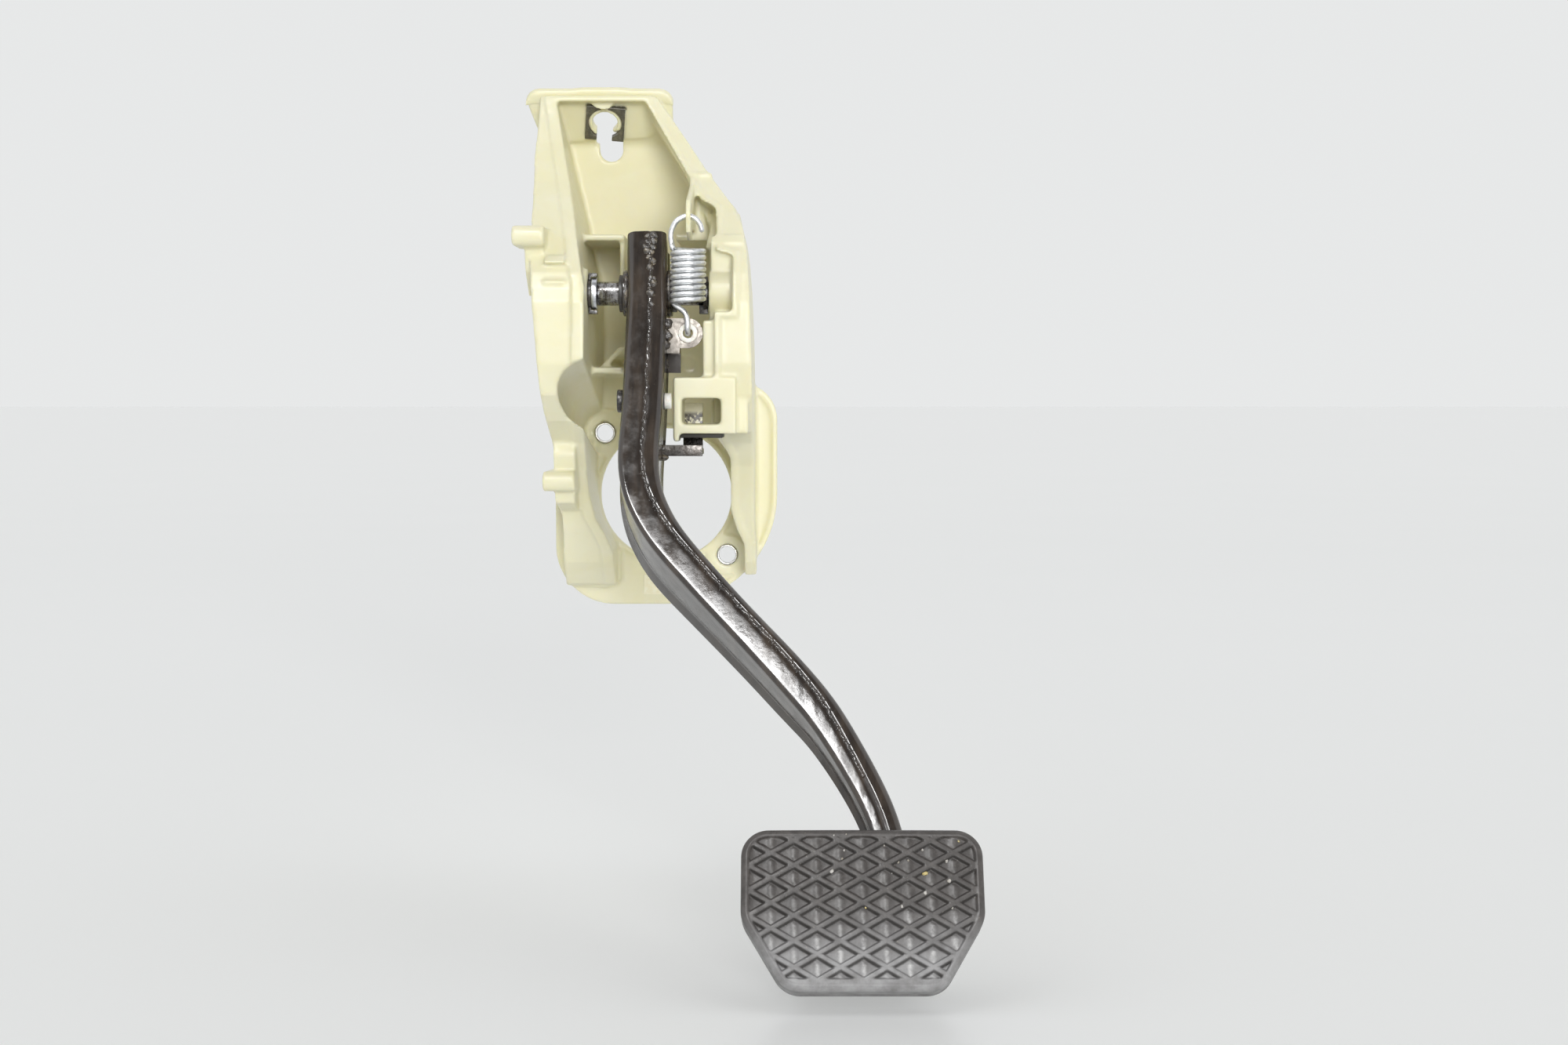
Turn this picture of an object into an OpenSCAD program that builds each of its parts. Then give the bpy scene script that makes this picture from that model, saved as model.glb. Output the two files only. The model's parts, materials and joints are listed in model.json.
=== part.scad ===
// Brake pedal assembly: moulded pedal bracket, welded two-shell pedal arm on a
// pivot axle, return spring, stop-lamp switch seat and rubber foot pad.
// Frame: origin at the centre of the booster opening on the mounting face,
// +X to the driver's right, +Y forward through the bulkhead, +Z up.

/* [Flange] */
// Half width and half height of the mounting flange
flange_half = 56.5; // [54:0.5:60]
// Thickness of the mounting flange
flange_t = 5; // [4.5:0.1:5.4]
// Diameter of the booster opening
booster_d = 66.5; // [64:0.5:67]
// Sideways and upward distance of each bolt from the centre
bolt_offset = 31; // [30.5:0.25:31.5]
// Outer diameter of the pressed steel bolt sleeves
sleeve_od = 10.5; // [10.2:0.1:10.8]
// Bore of the bolt sleeves
sleeve_id = 8.5; // [8.4:0.1:9]

/* [Pivot] */
// Distance of the pivot in front of the mounting face, towards the driver
pivot_out = 95; // [94:0.5:96]
// Height of the pivot above the booster centre
pivot_up = 97; // [96:0.5:98]
// Diameter of the pivot axle
axle_d = 11; // [10:0.5:11.5]
// Radial running clearance of the bushes on the axle
run_gap = 0.04; // [0.02:0.01:0.09]

/* [Pedal arm] */
// Lean of the arm's plane from the vertical, at rest
arm_lean = 29.11; // [28.5:0.01:29.5]
// Depth of the arm from its rear face to its front face
arm_depth = 25; // [24:0.5:26]
// Sheet thickness of the two arm shells
shell_t = 2.5; // [2:0.1:3]
// Outer diameter of the hub tube through the arm
hub_od = 18; // [17.5:0.5:19]
// Distance of the push rod pin below the pivot, along the arm
rod_s = 57; // [56:0.5:58]

/* [Foot pad] */
// Width of the rubber pad
pad_w = 95.6; // [92:0.2:98]
// Pitch of the diamonds across the pad
diamond_w = 18.2; // [17:0.1:20]
// Pitch of the diamonds up the pad
diamond_h = 10.3; // [9.5:0.1:11]
// Width of the ribs between the diamonds
rib_w = 2.3; // [2:0.1:2.8]
// Depth of the diamond recesses
diamond_depth = 2; // [1:0.1:2.5]

/* [Return spring] */
// Wire diameter of the return spring
wire_d = 2.5; // [2.2:0.1:2.6]
// Mean radius of the coils
coil_r = 7; // [6.8:0.1:7.1]
// Pitch of the close-wound coils
coil_pitch = 2.72; // [2.7:0.01:2.75]
// Number of coils
coils = 9; // [8:1:9]

/* [Hidden] */

$fn = 64;
py = -pivot_out;
pz = pivot_up;
hd = arm_depth / 2;
plastic = [0.93, 0.91, 0.72];
black_steel = [0.2, 0.18, 0.17];

// ---- helpers -------------------------------------------------------------
function rev(a) = [for (i = [len(a) - 1 : -1 : 0]) a[i]];
function shift(a, dx, dz) = [for (p = a) [p[0] + dx, p[1] + dz]];
function unit(v) = v / norm(v);

// an outline in X and Z, running from y0 to y1
module yprism(y0, y1) translate([0, y1, 0]) rotate([90, 0, 0])
  linear_extrude(y1 - y0) children();
// an outline in Y and Z, running from x0 to x1
module xprism(x0, x1) translate([x0, 0, 0]) rotate([90, 0, 90])
  linear_extrude(x1 - x0) children();
// a cylinder along X
module xcyl(x0, x1, r) translate([x0, 0, 0]) rotate([0, 90, 0])
  cylinder(h = x1 - x0, r = r);
// a cylinder along Y
module ycyl(y0, y1, r) translate([0, y1, 0]) rotate([90, 0, 0])
  cylinder(h = y1 - y0, r = r);
// the area between two lines that run the same way
module between(a, b) polygon(concat(a, rev(b)));
// the pivot's and the arm's own frames: in the arm's frame X is across the
// arm, Y up along it, and Z out of its front face
module at_pivot() translate([0, py, pz]) children();
module in_arm() at_pivot() rotate([90 - arm_lean, 0, 0]) children();

// ---- bracket outlines ----------------------------------------------------
// driver's edge of the side walls, seen from the side: Y and Z
edge_line = [
  [-9, -47], [-17, -45], [-32, -33], [-45, -16], [-56, 2], [-66, 16],
  [-78, 27], [-100, 38], [-114, 50], [-118, 64], [-118, 92], [-112, 106],
  [-96, 124], [-80, 138], [-65, 152], [-51, 170], [-41, 186], [-36, 197]];
// room for the walls behind that edge, pulled back by d
module side_area(d) intersection() {
  translate([d, 0]) polygon(concat([[200, -47]], edge_line, [[200, 197]]));
  polygon([[-200, -60], [0, -60], [0, 58], [-9.4, 175.5], [-10.2, 177.3],
    [-27.2, 197.8], [-200, 197.8]]);
}
// inner edge of the left wall: X and Z
left_in = [
  [-24.5, -46], [-25, -27], [-28, -19], [-32.5, -10], [-34.6, 2],
  [-35.2, 12], [-34.4, 29], [-32.6, 45], [-31.5, 66], [-31.2, 84],
  [-31.4, 100], [-34, 112], [-38.5, 135], [-45.5, 165], [-52, 196.4]];
// left silhouette
left_out = [
  [-50.4, -46], [-49.6, -27], [-48.9, -19], [-48.8, -10], [-49.3, 2],
  [-49.8, 12], [-50.4, 29], [-51.6, 45], [-53.2, 66], [-54.6, 84],
  [-56, 100], [-57, 112], [-58.8, 135], [-60.6, 165], [-59.5, 196.4]];
// stepped inner edge of the right wall, and the far side of its raised edge
right_in = [
  [40.4, -40], [40.4, -24], [36.5, -15], [34, -6], [34.2, 8], [34.2, 20],
  [28, 33], [28, 88], [36.2, 88], [36.2, 114.6], [28.4, 116.6],
  [27.8, 137.6], [26, 139.4], [20.4, 142.4], [12.6, 157.4], [-9.6, 196.4]];
right_bead = [
  [42.6, -40], [42.6, -23.4], [38.8, -14], [36.4, -5.6], [36.6, 8],
  [36.6, 21], [30.4, 33.6], [30.4, 85.6], [38.6, 85.6], [38.6, 116.6],
  [30.9, 118.8], [30.2, 139.6], [27.4, 141.8], [22, 145], [14.8, 158.6],
  [-7, 196.4]];
// right silhouette
right_out = [
  [46, -40], [46, -24], [45.6, -15], [45.4, -6], [45.5, 8], [45.7, 20],
  [45.6, 33], [44.9, 76], [44, 100], [42.8, 116], [41.6, 124], [40.2, 130],
  [36.6, 138], [34.1, 141.7], [22.3, 158.4], [13.7, 172], [4.4, 186],
  [-3, 196.4]];
// inner skin of the right wall, behind the stepped edge
skin_in = [
  [34.2, 20], [25.4, 33], [25.2, 118], [24.4, 130], [18.6, 143],
  [11.4, 158], [-12, 196.4]];
skin_out = [
  [36.6, 20], [28, 33], [28, 118], [27.2, 131], [21.4, 144.4],
  [14.2, 159.4], [-9.2, 196.4]];

// the top clamp's own frame, on the leaning top wall: -Y faces the driver
incline = 39.7;
module on_incline() translate([-28.8, -21.9, 185.7]) rotate([incline, 0, 0])
  rotate([0, 6, 0]) children();

module flange_outline() {
  h = flange_half;
  union() {
    circle(r = h - 0.01, $fn = 128);
    translate([-h, 0]) square([h, h]);
    translate([0, 0]) square([h - 19, h]);
    translate([0, 0]) square([h, h - 19]);
    translate([h - 19, h - 19]) circle(r = 19);
    translate([-h, -h + 30]) square([h, h - 30]);
    translate([-h + 30, -h]) square([h - 30, h]);
    translate([-h + 30, -h + 30]) circle(r = 30);
  }
}

// leaning back plate and top wall, seen from the side
module back_area() polygon([
  [0, 30], [0, 58], [-9.4, 175.5], [-10.2, 177.3], [-27.2, 197.8],
  [-30, 195.5], [-13, 175], [-5, 58], [-5, 30]]);

// bolt tool channel in the left wall, along its own axis, g wider all round
module tool_channel(g) translate([-30.6, -6.5, 31]) rotate([79.1, 0, 0])
  cylinder(h = 135, r1 = 11.2 + g, r2 = 14 + g);

module left_wall() {
  // web beside the pedal
  intersection() {
    yprism(-125, 0) between(shift(left_in, -3.2, 0), left_in);
    xprism(-70, 0) side_area(0);
  }
  // raised inner edge
  intersection() {
    yprism(-125, 0) between(shift(left_in, -5.6, 0), left_in);
    xprism(-70, 0) difference() { side_area(0); side_area(7); }
  }
  // broad face towards the driver
  intersection() {
    yprism(-125, 0) between(left_out, shift(left_in, -3, 0));
    xprism(-70, 0) difference() { side_area(2); side_area(6); }
  }
  // outer skin, and its return behind the face
  intersection() {
    yprism(-125, 0) between(left_out, shift(left_out, 3, 0));
    xprism(-70, 0) difference() { side_area(2); side_area(30); }
  }
  // cross ribs in the hollow side
  for (z = [-30, 4, 74, 112, 150])
    intersection() {
      yprism(-125, 0) between(shift(left_out, 1, 0), shift(left_in, -2, 0));
      translate([-70, -125, z]) cube([60, 125, 2.6]);
      xprism(-70, 0) side_area(4);
    }
  // wall round the bolt tool channel
  intersection() {
    tool_channel(2.8);
    yprism(-125, -4) between(shift(left_out, 1, 0), left_in);
    xprism(-70, 0) side_area(2);
  }
}

module right_wall() {
  // raised stepped edge, down to the ledge behind it
  intersection() {
    yprism(-125, 0) between(right_in, right_bead);
    xprism(-15, 50) difference() { side_area(0); side_area(24); }
  }
  // face towards the driver
  intersection() {
    yprism(-125, 0) polygon(concat(right_out, rev(shift(right_bead, -0.6, 0))));
    xprism(-15, 50) difference() { side_area(1.4); side_area(5.4); }
  }
  // outer skin
  intersection() {
    yprism(-125, 0) between(shift(right_out, -3.2, 0), right_out);
    xprism(-15, 50) side_area(1.4);
  }
  // inner skin
  intersection() {
    yprism(-125, 0) between(skin_in, skin_out);
    xprism(-15, 50) side_area(17);
  }
  intersection() {
    yprism(-125, 0) polygon([[22.8, 56], [22.8, 84], [28.4, 84], [28.4, 56]]);
    xprism(-15, 50) difference() { side_area(3); side_area(24); }
  }
  // lower wall between the edge and the flange
  intersection() {
    yprism(-125, 0) polygon([
      [40.4, -40], [40.4, -24], [36.5, -15], [34, -6], [34.2, 8], [34.2, 22],
      [37.2, 22], [37, 8], [37, -5], [39.5, -14], [43.4, -23], [43.4, -40]]);
    xprism(-15, 50) side_area(0);
  }
  // ledge behind the stepped edge
  intersection() {
    yprism(-99, -95.6) polygon([
      [26, 84], [43.5, 84], [42.5, 117], [39, 134], [34, 141], [26, 141]]);
    xprism(-15, 50) side_area(0);
  }
  intersection() {
    yprism(-84, -60) polygon([
      [23, 118], [27, 141], [14, 160], [17, 163], [37, 139], [42, 118]]);
    xprism(-15, 50) difference() { side_area(14); side_area(18); }
  }
  // cross ribs between the skins
  for (z = [0, 62, 104, 134])
    intersection() {
      yprism(-125, 0) polygon(concat([[30, 33], [26, 118], [26, 140]],
        [[38, 140], [43, 118], [44, 60], [44, -8], [35, -8], [35, 20]]));
      translate([0, -125, z]) cube([60, 125, 2.6]);
      xprism(-15, 50) side_area(18);
    }
}

// a hooked lug: a rounded bar on a tapering body
module lug(x0, x1, z0, z1, yb, yf, drop) {
  r = (z1 - z0) / 2;
  translate([0, yf + r, z0 + r]) xcyl(x0, x1, r);
  translate([x0, yf + r, z0]) cube([x1 - x0, yb - yf - r, z1 - z0]);
  xprism(x0 + 5, x1 - 1) polygon([
    [yb, z0 + 1], [yf + 2 * r, z0 + 1], [yf + 2 * r + 3, z0 - drop / 2],
    [yb, z0 - drop]]);
}

module bracket() color(plastic) difference() {
  union() {
    // mounting flange with its raised rim
    yprism(-flange_t, 0) flange_outline();
    intersection() {
      yprism(-flange_t - 1.6, 0) difference() {
        flange_outline();
        scale(0.955) flange_outline();
      }
      translate([30, -10, -60]) cube([40, 10, 120]);
    }
    // rim of the booster opening
    yprism(-flange_t - 1.5, -1) difference() {
      circle(r = booster_d / 2 + 2, $fn = 96);
      circle(r = booster_d / 2 - 1, $fn = 96);
    }
    // flat bosses round the bolts
    translate([-bolt_offset, 0, bolt_offset]) ycyl(-6.5, -1, 11.5);
    translate([bolt_offset, 0, -bolt_offset]) ycyl(-6.5, -1, 10);
    // back plate and leaning top wall
    intersection() {
      yprism(-40, 0) polygon([
        [-44, 34], [-44, 60], [-32, 84], [-34, 100], [-36, 112], [-40, 135],
        [-47, 165], [-54, 178], [-56, 197], [-4, 197], [-1, 186],
        [12.6, 160], [21, 144], [26, 131], [27, 118], [44, 60], [44, 34]]);
      xprism(-70, 50) back_area();
    }
    // top flange, in line with the leaning wall
    intersection() {
      yprism(-40, 0) polygon([
        [-66.4, 193], [-65.6, 196], [-63, 197.6], [-40, 197.8], [1, 197.8],
        [3.8, 196.4], [5, 193], [4.8, 185], [-8, 178], [-52, 176],
        [-60.6, 176.4]]);
      xprism(-70, 50) polygon([
        [-10.2, 177.3], [-8, 174], [-27.2, 197.8], [-31.2, 196],
        [-14, 174.4]]);
    }
    // closing rim across the top of the walls
    intersection() {
      yprism(-40, 0) polygon([[-54, 193.6], [-54, 196.4], [-5, 196.4], [-5, 193.6]]);
      xprism(-70, 50) side_area(0);
    }
    translate([-29.4, 0, 195.4]) ycyl(-31.5, -25, 5.8);
    // locating ring that holds the clamp plate
    on_incline() ycyl(-2.1, 1, 8.2);
    left_wall();
    right_wall();
    // pivot bosses
    at_pivot() xcyl(-41, -31, 11.5);
    at_pivot() xcyl(25.2, 37, 10.5);
    // upper left lug and its two small ribs
    lug(-64.6, -49.6, 118, 127.4, -88, -114, 22);
    for (z = [101, 110])
      xprism(-49.8, -40) polygon([
        [-92, z], [-115, z], [-108, z + 4], [-92, z + 5]]);
    // lower left lug
    lug(-54.6, -39, 4.4, 13.8, -44, -83, 12);
    xprism(-49.5, -39) polygon([
      [-48, 12], [-76, 12], [-80, 22], [-78, 27], [-60, 27]]);
    // foot of the left wall
    translate([-33, 0, -34]) ycyl(-16, -3, 5);
    yprism(-8, -3) polygon([[-51, -46.5], [-51, -28], [-23, -28], [-23, -44], [-30, -48]]);
    // shelves on the back plate
    intersection() {
      translate([-37, -62, 124]) cube([20.5, 60, 3]);
      yprism(-70, 0) between(shift(left_in, -2, 0), shift(left_in, 40, 0));
    }
    translate([-19, -60, 104]) cube([2.5, 58, 22]);
    translate([8, -62, 124]) cube([18, 60, 3]);
    // roof of the bolt tool channel and its slanted rib
    translate([-32.5, -74, 60.4]) cube([16, 71, 2.8]);
    yprism(-58, -4) polygon([
      [-31.5, 61], [-28, 61], [-16.5, 73], [-19.5, 73.6]]);
    // spring finger
    xprism(15, 17.3) polygon([
      [-56, 160], [-70, 150], [-111, 139], [-114, 132], [-111, 124],
      [-96, 121], [-92, 126], [-62, 128]]);
    translate([15, -62, 126.5]) cube([10.4, 8, 30]);
    // seat for the stop-lamp switch
    translate([9.2, -117, 32.4]) cube([28.6, 31, 25.7]);
    translate([9.2, -117, 28.8]) cube([2.8, 20, 5]);
    translate([36, -112, 32.4]) cube([7.5, 26, 24]);
  }
  // booster opening
  ycyl(-12, 1, booster_d / 2, $fn = 128);
  // seats for the bolt sleeves
  for (q = [-1, 1]) translate([q * bolt_offset, 0, -q * bolt_offset])
    ycyl(-8, 1, sleeve_od / 2);
  // way for the bolt and its tool
  tool_channel(0);
  // pocket for the clamp plate, round its locating ring
  on_incline() difference() {
    translate([-9.7, -4, -9.7]) cube([19.4, 4, 19.4]);
    ycyl(-6, 2, 8.2);
  }
  // recess for the rubber rest
  stop_buffer();
  // keyhole under the top clamp
  on_incline() ycyl(-5, 9, 6.2);
  on_incline() translate([-3.8, -5, -15]) cube([7.6, 14, 15]);
  yprism(-24, 1) polygon([[-32.3, 172.6], [-32.3, 181], [-20.7, 181], [-20.7, 172.6]]);
  translate([-26.5, 0, 172.8]) ycyl(-24, 1, 5.8);
  // bore for the axle
  at_pivot() xcyl(-45, 34, axle_d / 2 + 0.03);
  // hole for the spring's upper hook
  translate([10, -108, 131.2]) xcyl(0, 10, 2.3);
  // way through the switch seat, and its relief behind
  translate([13.3, -120, 36.8]) cube([17.6, 40, 11.8]);
  translate([13, -112, 51]) cube([20, 30, 4]);
  // shallow round mark in the back plate
  translate([11.6, 0, 66]) ycyl(-10, -4.4, 4.5);
}

module bolt_sleeve() color([0.72, 0.72, 0.74]) rotate([-90, 0, 0])
  rotate_extrude() polygon([
    [sleeve_id / 2, -6.9], [sleeve_od / 2 - 0.3, -6.9],
    [sleeve_od / 2, -6.5], [sleeve_od / 2, 0], [sleeve_id / 2, 0]]);
module bolt_sleeve_upper() translate([-bolt_offset, 0, bolt_offset]) bolt_sleeve();
module bolt_sleeve_lower() translate([bolt_offset, 0, -bolt_offset]) bolt_sleeve();

// square steel plate that the top bolt clamps on
module top_clamp_plate() color([0.42, 0.42, 0.42]) on_incline() difference() {
  translate([-9.6, -2.5, -9.6]) cube([19.2, 2.5, 19.2]);
  ycyl(-5, 3, 8.2);
  translate([-3.8, -5, -12]) cube([7.6, 8, 12]);
}

module pivot_axle() color([0.5, 0.5, 0.5]) at_pivot() rotate([0, 90, 0])
  rotate_extrude() polygon([
    [0, -40], [axle_d / 2 - 1, -40], [axle_d / 2, -39], [axle_d / 2, 33],
    [axle_d / 2 - 1, 34], [0, 34]]);

module axle_collar() color([0.75, 0.77, 0.8]) at_pivot() difference() {
  xcyl(-29.3, -26.7, 7.4);
  xcyl(-32, -25, axle_d / 2);
}
// spring clip behind the collar, with a tab above and below
module axle_clip() color(black_steel) at_pivot() difference() {
  union() {
    xcyl(-30.9, -29.4, 7);
    for (a = [0, 180]) rotate([a, 0, 0])
      yprism(-2.6, 2.6) polygon([
        [-30.6, 6.2], [-29.7, 6.2], [-29.7, 7.7], [-26.9, 7.7],
        [-26.9, 9.4], [-30.6, 9.4]]);
  }
  xcyl(-35, -25, axle_d / 2);
}
module axle_washer() color(black_steel) at_pivot() difference() {
  union() {
    xcyl(22.6, 24.6, 8);
    translate([20.6, -3, -9.4]) cube([4, 6, 4]);
  }
  xcyl(15, 30, axle_d / 2);
}

// rubber rest for the switch tab, under and behind the switch seat
module stop_buffer() color([0.12, 0.12, 0.12]) {
  translate([12, -113, 30.3]) cube([19.8, 27, 2.1]);
  translate([12, -86, 30.3]) cube([10, 1.2, 6]);
}

module blank_label() color([0.95, 0.93, 0.78])
  translate([-11.6, -5.35, -51.4]) cube([12, 0.35, 10]);

// ---- pedal arm -----------------------------------------------------------
// middle line of the arm: X, distance below the pivot, half width
arm_pts = [
  [-4, -26.5, 9.2], [-3.4, -9, 9.3], [-3, 8, 9.3], [-3.1, 24, 9.3],
  [-3.3, 40, 9.3], [-3.5, 62, 9.2], [-4.3, 78, 9.1], [-4.8, 91, 9.1],
  [-3.5, 102.6, 8.9], [-0.8, 112, 8.6], [4, 122.5, 8.3], [10.8, 133.1, 8.1],
  [19.4, 143.6, 7.9], [28.2, 154.2, 7.8], [36.6, 164, 7.7], [45, 173.6, 7.7],
  [55.5, 185.5, 7.9], [65.4, 197.3, 8], [73.1, 207, 7.8], [79.7, 216.8, 7.5],
  [88.5, 232.4, 7.1], [96.3, 247.9, 6.8], [101.7, 262.5, 6.6], [104.8, 279.9, 6.6],
  [107, 301.9, 6.6]];
na = len(arm_pts);
function ap(i) = [arm_pts[i][0], -arm_pts[i][1]];
function at(i) = unit(ap(min(i + 1, na - 1)) - ap(max(i - 1, 0)));
function side(k, inset) = [for (i = [0 : na - 1])
  ap(i) + k * (arm_pts[i][2] - inset) * [at(i)[1], -at(i)[0]]];
mid_line = [for (i = [0 : na - 1]) ap(i)];

// rear line of the arm, seen from the side: distance up the arm from the
// pivot, and height over the arm's middle plane
arm_rear = [
  [26.5, -12.5], [0, -12.5], [-35, -14], [-57, -17], [-90, -23.5],
  [-118, -29], [-138, -27], [-158, -22.5], [-185, -19.5], [-200, -18.5],
  [-215, -13], [-230, -8.5], [-250, -6.5]];
// the arm seen from the side, g smaller on the front, the rear and the top
module arm_side(g) xprism(-40, 140) polygon(concat(
  [[26.5 - g, hd - g]],
  [for (p = arm_rear) [min(p[0], 26.5 - g), p[1] + g]],
  [[-320, -5 + g], [-320, hd - g]]));

module arm_envelope() in_arm() intersection() {
  translate([0, 0, -40]) linear_extrude(60) between(side(1, 0), side(-1, 0));
  arm_side(0);
}

// one pressed shell, k = 1 on the left and -1 on the right
module shell(k) color(black_steel) difference() {
  in_arm() difference() {
    intersection() {
      translate([0, 0, -40]) linear_extrude(60) between(side(k, 0), mid_line);
      arm_side(0);
    }
    intersection() {
      translate([0, 0, -40]) linear_extrude(60)
        between(side(k, shell_t), side(-k, shell_t));
      arm_side(shell_t);
    }
  }
  at_pivot() xcyl(-20, 20, hub_od / 2);
  in_arm() translate([0, -rod_s, 0]) xcyl(-25, 20, 4.2);
}
module arm_left_shell() shell(1);
module arm_right_shell() shell(-1);

module hub_tube() color(black_steel) at_pivot() difference() {
  union() {
    xcyl(-14.6, 8.2, hub_od / 2);
    xcyl(-14.6, -13.1, hub_od / 2 + 1.6);
    xcyl(6.7, 8.2, hub_od / 2 + 1.6);
  }
  xcyl(-20, 20, 7);
}
module bush(x0, x1, f0, f1) color([0.15, 0.15, 0.15]) at_pivot() difference() {
  union() {
    xcyl(x0, x1, 7);
    xcyl(f0, f1, 8.6);
  }
  xcyl(-40, 40, axle_d / 2 + run_gap);
}
module bush_left() bush(-16.4, -3.4, -16.4, -14.6);
module bush_right() bush(-2.6, 10.2, 8.2, 10.2);

module pushrod_pin() color(black_steel) in_arm() translate([0, -rod_s, 0]) union() {
  xcyl(-15.6, -12.9, 5.2);
  xcyl(-12.9, 5.8, 4.2);
  xcyl(5.8, 8.2, 2.4);
}
module pushrod_sleeve() color([0.93, 0.92, 0.86]) in_arm() translate([0, -rod_s, 0])
  difference() {
    xcyl(5.8, 8.8, 3.6);
    xcyl(5, 10, 2.4);
  }

// steel lug that the spring pulls on
module spring_lug() color([0.62, 0.58, 0.53]) difference() {
  union() {
    translate([3, -113, 71.4]) cube([13, 2.5, 13.6]);
    translate([16, 0, 78.2]) ycyl(-113, -110.5, 6.8);
    translate([3, -113, 69]) cube([9.2, 12, 2.5]);
    translate([3, -103.5, 60.2]) cube([9.2, 2.5, 11.3]);
  }
  translate([16, 0, 78.2]) ycyl(-120, -105, 3.7);
  arm_envelope();
}
module spring_eyelet() color([0.92, 0.92, 0.9]) translate([16, 0, 78.2])
  rotate([90, 0, 0]) rotate_extrude() polygon([
    [2.3, 109.3], [4.4, 109.3], [4.4, 110.5], [3.7, 110.5], [3.7, 113],
    [4.4, 113], [4.4, 114.2], [2.3, 114.2]]);

// steel strip that works the stop-lamp switch and meets the rest
module switch_tab() color([0.35, 0.34, 0.33]) difference() {
  union() {
    translate([2, -124, 22.3]) cube([20.9, 2.5, 5]);
    translate([2, -124, 22.3]) cube([20, 42, 2.5]);
    translate([12.4, -84.5, 22.3]) cube([9.2, 2.5, 24]);
  }
  arm_envelope();
}

// ---- foot pad ------------------------------------------------------------
pad_x = 91.4;
pad_top = -266.6;
// outline of the pad, g smaller all round, with corners of radius r
module pad_outline(g, r) {
  w = pad_w / 2 - g;
  translate([pad_x, 0]) offset(r = r, $fn = 40) offset(delta = -r) polygon([
    [-w, pad_top - g], [-w, -303 + g * 0.3], [-31 + g * 0.7, -333.4 + g],
    [31 - g * 0.7, -333.4 + g], [w, -303 + g * 0.3], [w, pad_top - g]]);
}

module pad_plate() color(black_steel) in_arm() translate([0, 0, hd])
  linear_extrude(3) pad_outline(4.5, 8);

module pad_rubber() color([0.25, 0.23, 0.22]) in_arm() difference() {
  translate([0, 0, hd - 2.2]) linear_extrude(13.2) pad_outline(0, 11);
  translate([0, 0, hd]) linear_extrude(3) pad_outline(4.5, 8);
  translate([0, 0, hd - 3]) linear_extrude(4) pad_outline(10, 6);
  translate([90, -279, hd - 3]) cube([26, 16, 3]);
  // diamond recesses in the tread
  translate([0, 0, hd + 11 - diamond_depth]) linear_extrude(diamond_depth + 1)
    intersection() {
      pad_outline(4, 8);
      union() for (j = [0 : 13], i = [-4 : 4])
        translate([pad_x + (i + (j % 2) / 2) * diamond_w, -268 - j * diamond_h / 2])
          polygon([
            [-diamond_w / 2 + rib_w, 0], [0, diamond_h / 2 - rib_w * 0.57],
            [diamond_w / 2 - rib_w, 0], [0, -diamond_h / 2 + rib_w * 0.57]]);
    }
}

// ---- return spring -------------------------------------------------------
sx = 16;
coil_z0 = 92.6;
coil_y0 = -111;
coil_y1 = -108.6;
seg = 16;
function coil_at(t) = let (a = 180 + 360 * t)
  [sx + coil_r * cos(a), coil_y0 + (coil_y1 - coil_y0) * t / coils
    + coil_r * sin(a), coil_z0 + coil_pitch * t];
// lower hook, from inside the eyelet up to the coils
hook_low = [
  [16, -106.4, 80.4], [16, -107, 78.6], [16, -109, 78], [16, -112, 78],
  [16, -115, 78.2], [16, -116.6, 79.6], [16, -117, 82], [15.8, -116.6, 85],
  [14.6, -115.6, 87.6], [12.4, -114, 89.4], [10.2, -112.6, 91]];
// upper hook, from the coils over the finger
hook_up = [
  [8.4, -107.4, 119.4], [8, -107.2, 122.6], [8.6, -107.4, 126],
  [10.4, -107.8, 129.2], [13, -108, 131], [16, -108, 131.8],
  [19, -108, 130.8], [21.2, -107.8, 128.4], [22.2, -107.6, 125.6]];
spring_path = concat(hook_low,
  [for (i = [0 : coils * seg]) coil_at(i / seg)], hook_up);
ns = len(spring_path);
function tan_at(i) = unit(spring_path[min(i + 1, ns - 1)] - spring_path[max(i - 1, 0)]);
function across(n, t) = unit(n - t * (n * t));
spring_n = [for (i = 0, n = [1, 0, 0]; i < ns;
  i = i + 1, n = across(n, tan_at(min(i, ns - 1)))) n];
sides = 8;
module return_spring() color([0.75, 0.76, 0.77]) polyhedron(
  points = [for (i = [0 : ns - 1]) let (t = tan_at(i), n = across(spring_n[i], t),
      b = cross(t, n)) for (k = [0 : sides - 1])
    spring_path[i] + wire_d / 2 * (cos(360 * k / sides) * n + sin(360 * k / sides) * b)],
  faces = concat([[for (k = [0 : sides - 1]) k]],
    [for (i = [0 : ns - 2], k = [0 : sides - 1]) let (m = (k + 1) % sides)
      [i * sides + k, (i + 1) * sides + k, (i + 1) * sides + m, i * sides + m]],
    [[for (k = [sides - 1 : -1 : 0]) (ns - 1) * sides + k]]),
  convexity = 10);

bracket();
bolt_sleeve_upper();
bolt_sleeve_lower();
top_clamp_plate();
pivot_axle();
axle_collar();
axle_clip();
axle_washer();
stop_buffer();
blank_label();
hub_tube();
bush_left();
bush_right();
arm_left_shell();
arm_right_shell();
pushrod_pin();
pushrod_sleeve();
spring_lug();
spring_eyelet();
switch_tab();
pad_plate();
pad_rubber();
return_spring();
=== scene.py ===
import bpy
import bmesh
import json
import math
import random
import numpy as np
from mathutils import Vector, Matrix, noise
from mathutils.kdtree import KDTree

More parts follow.
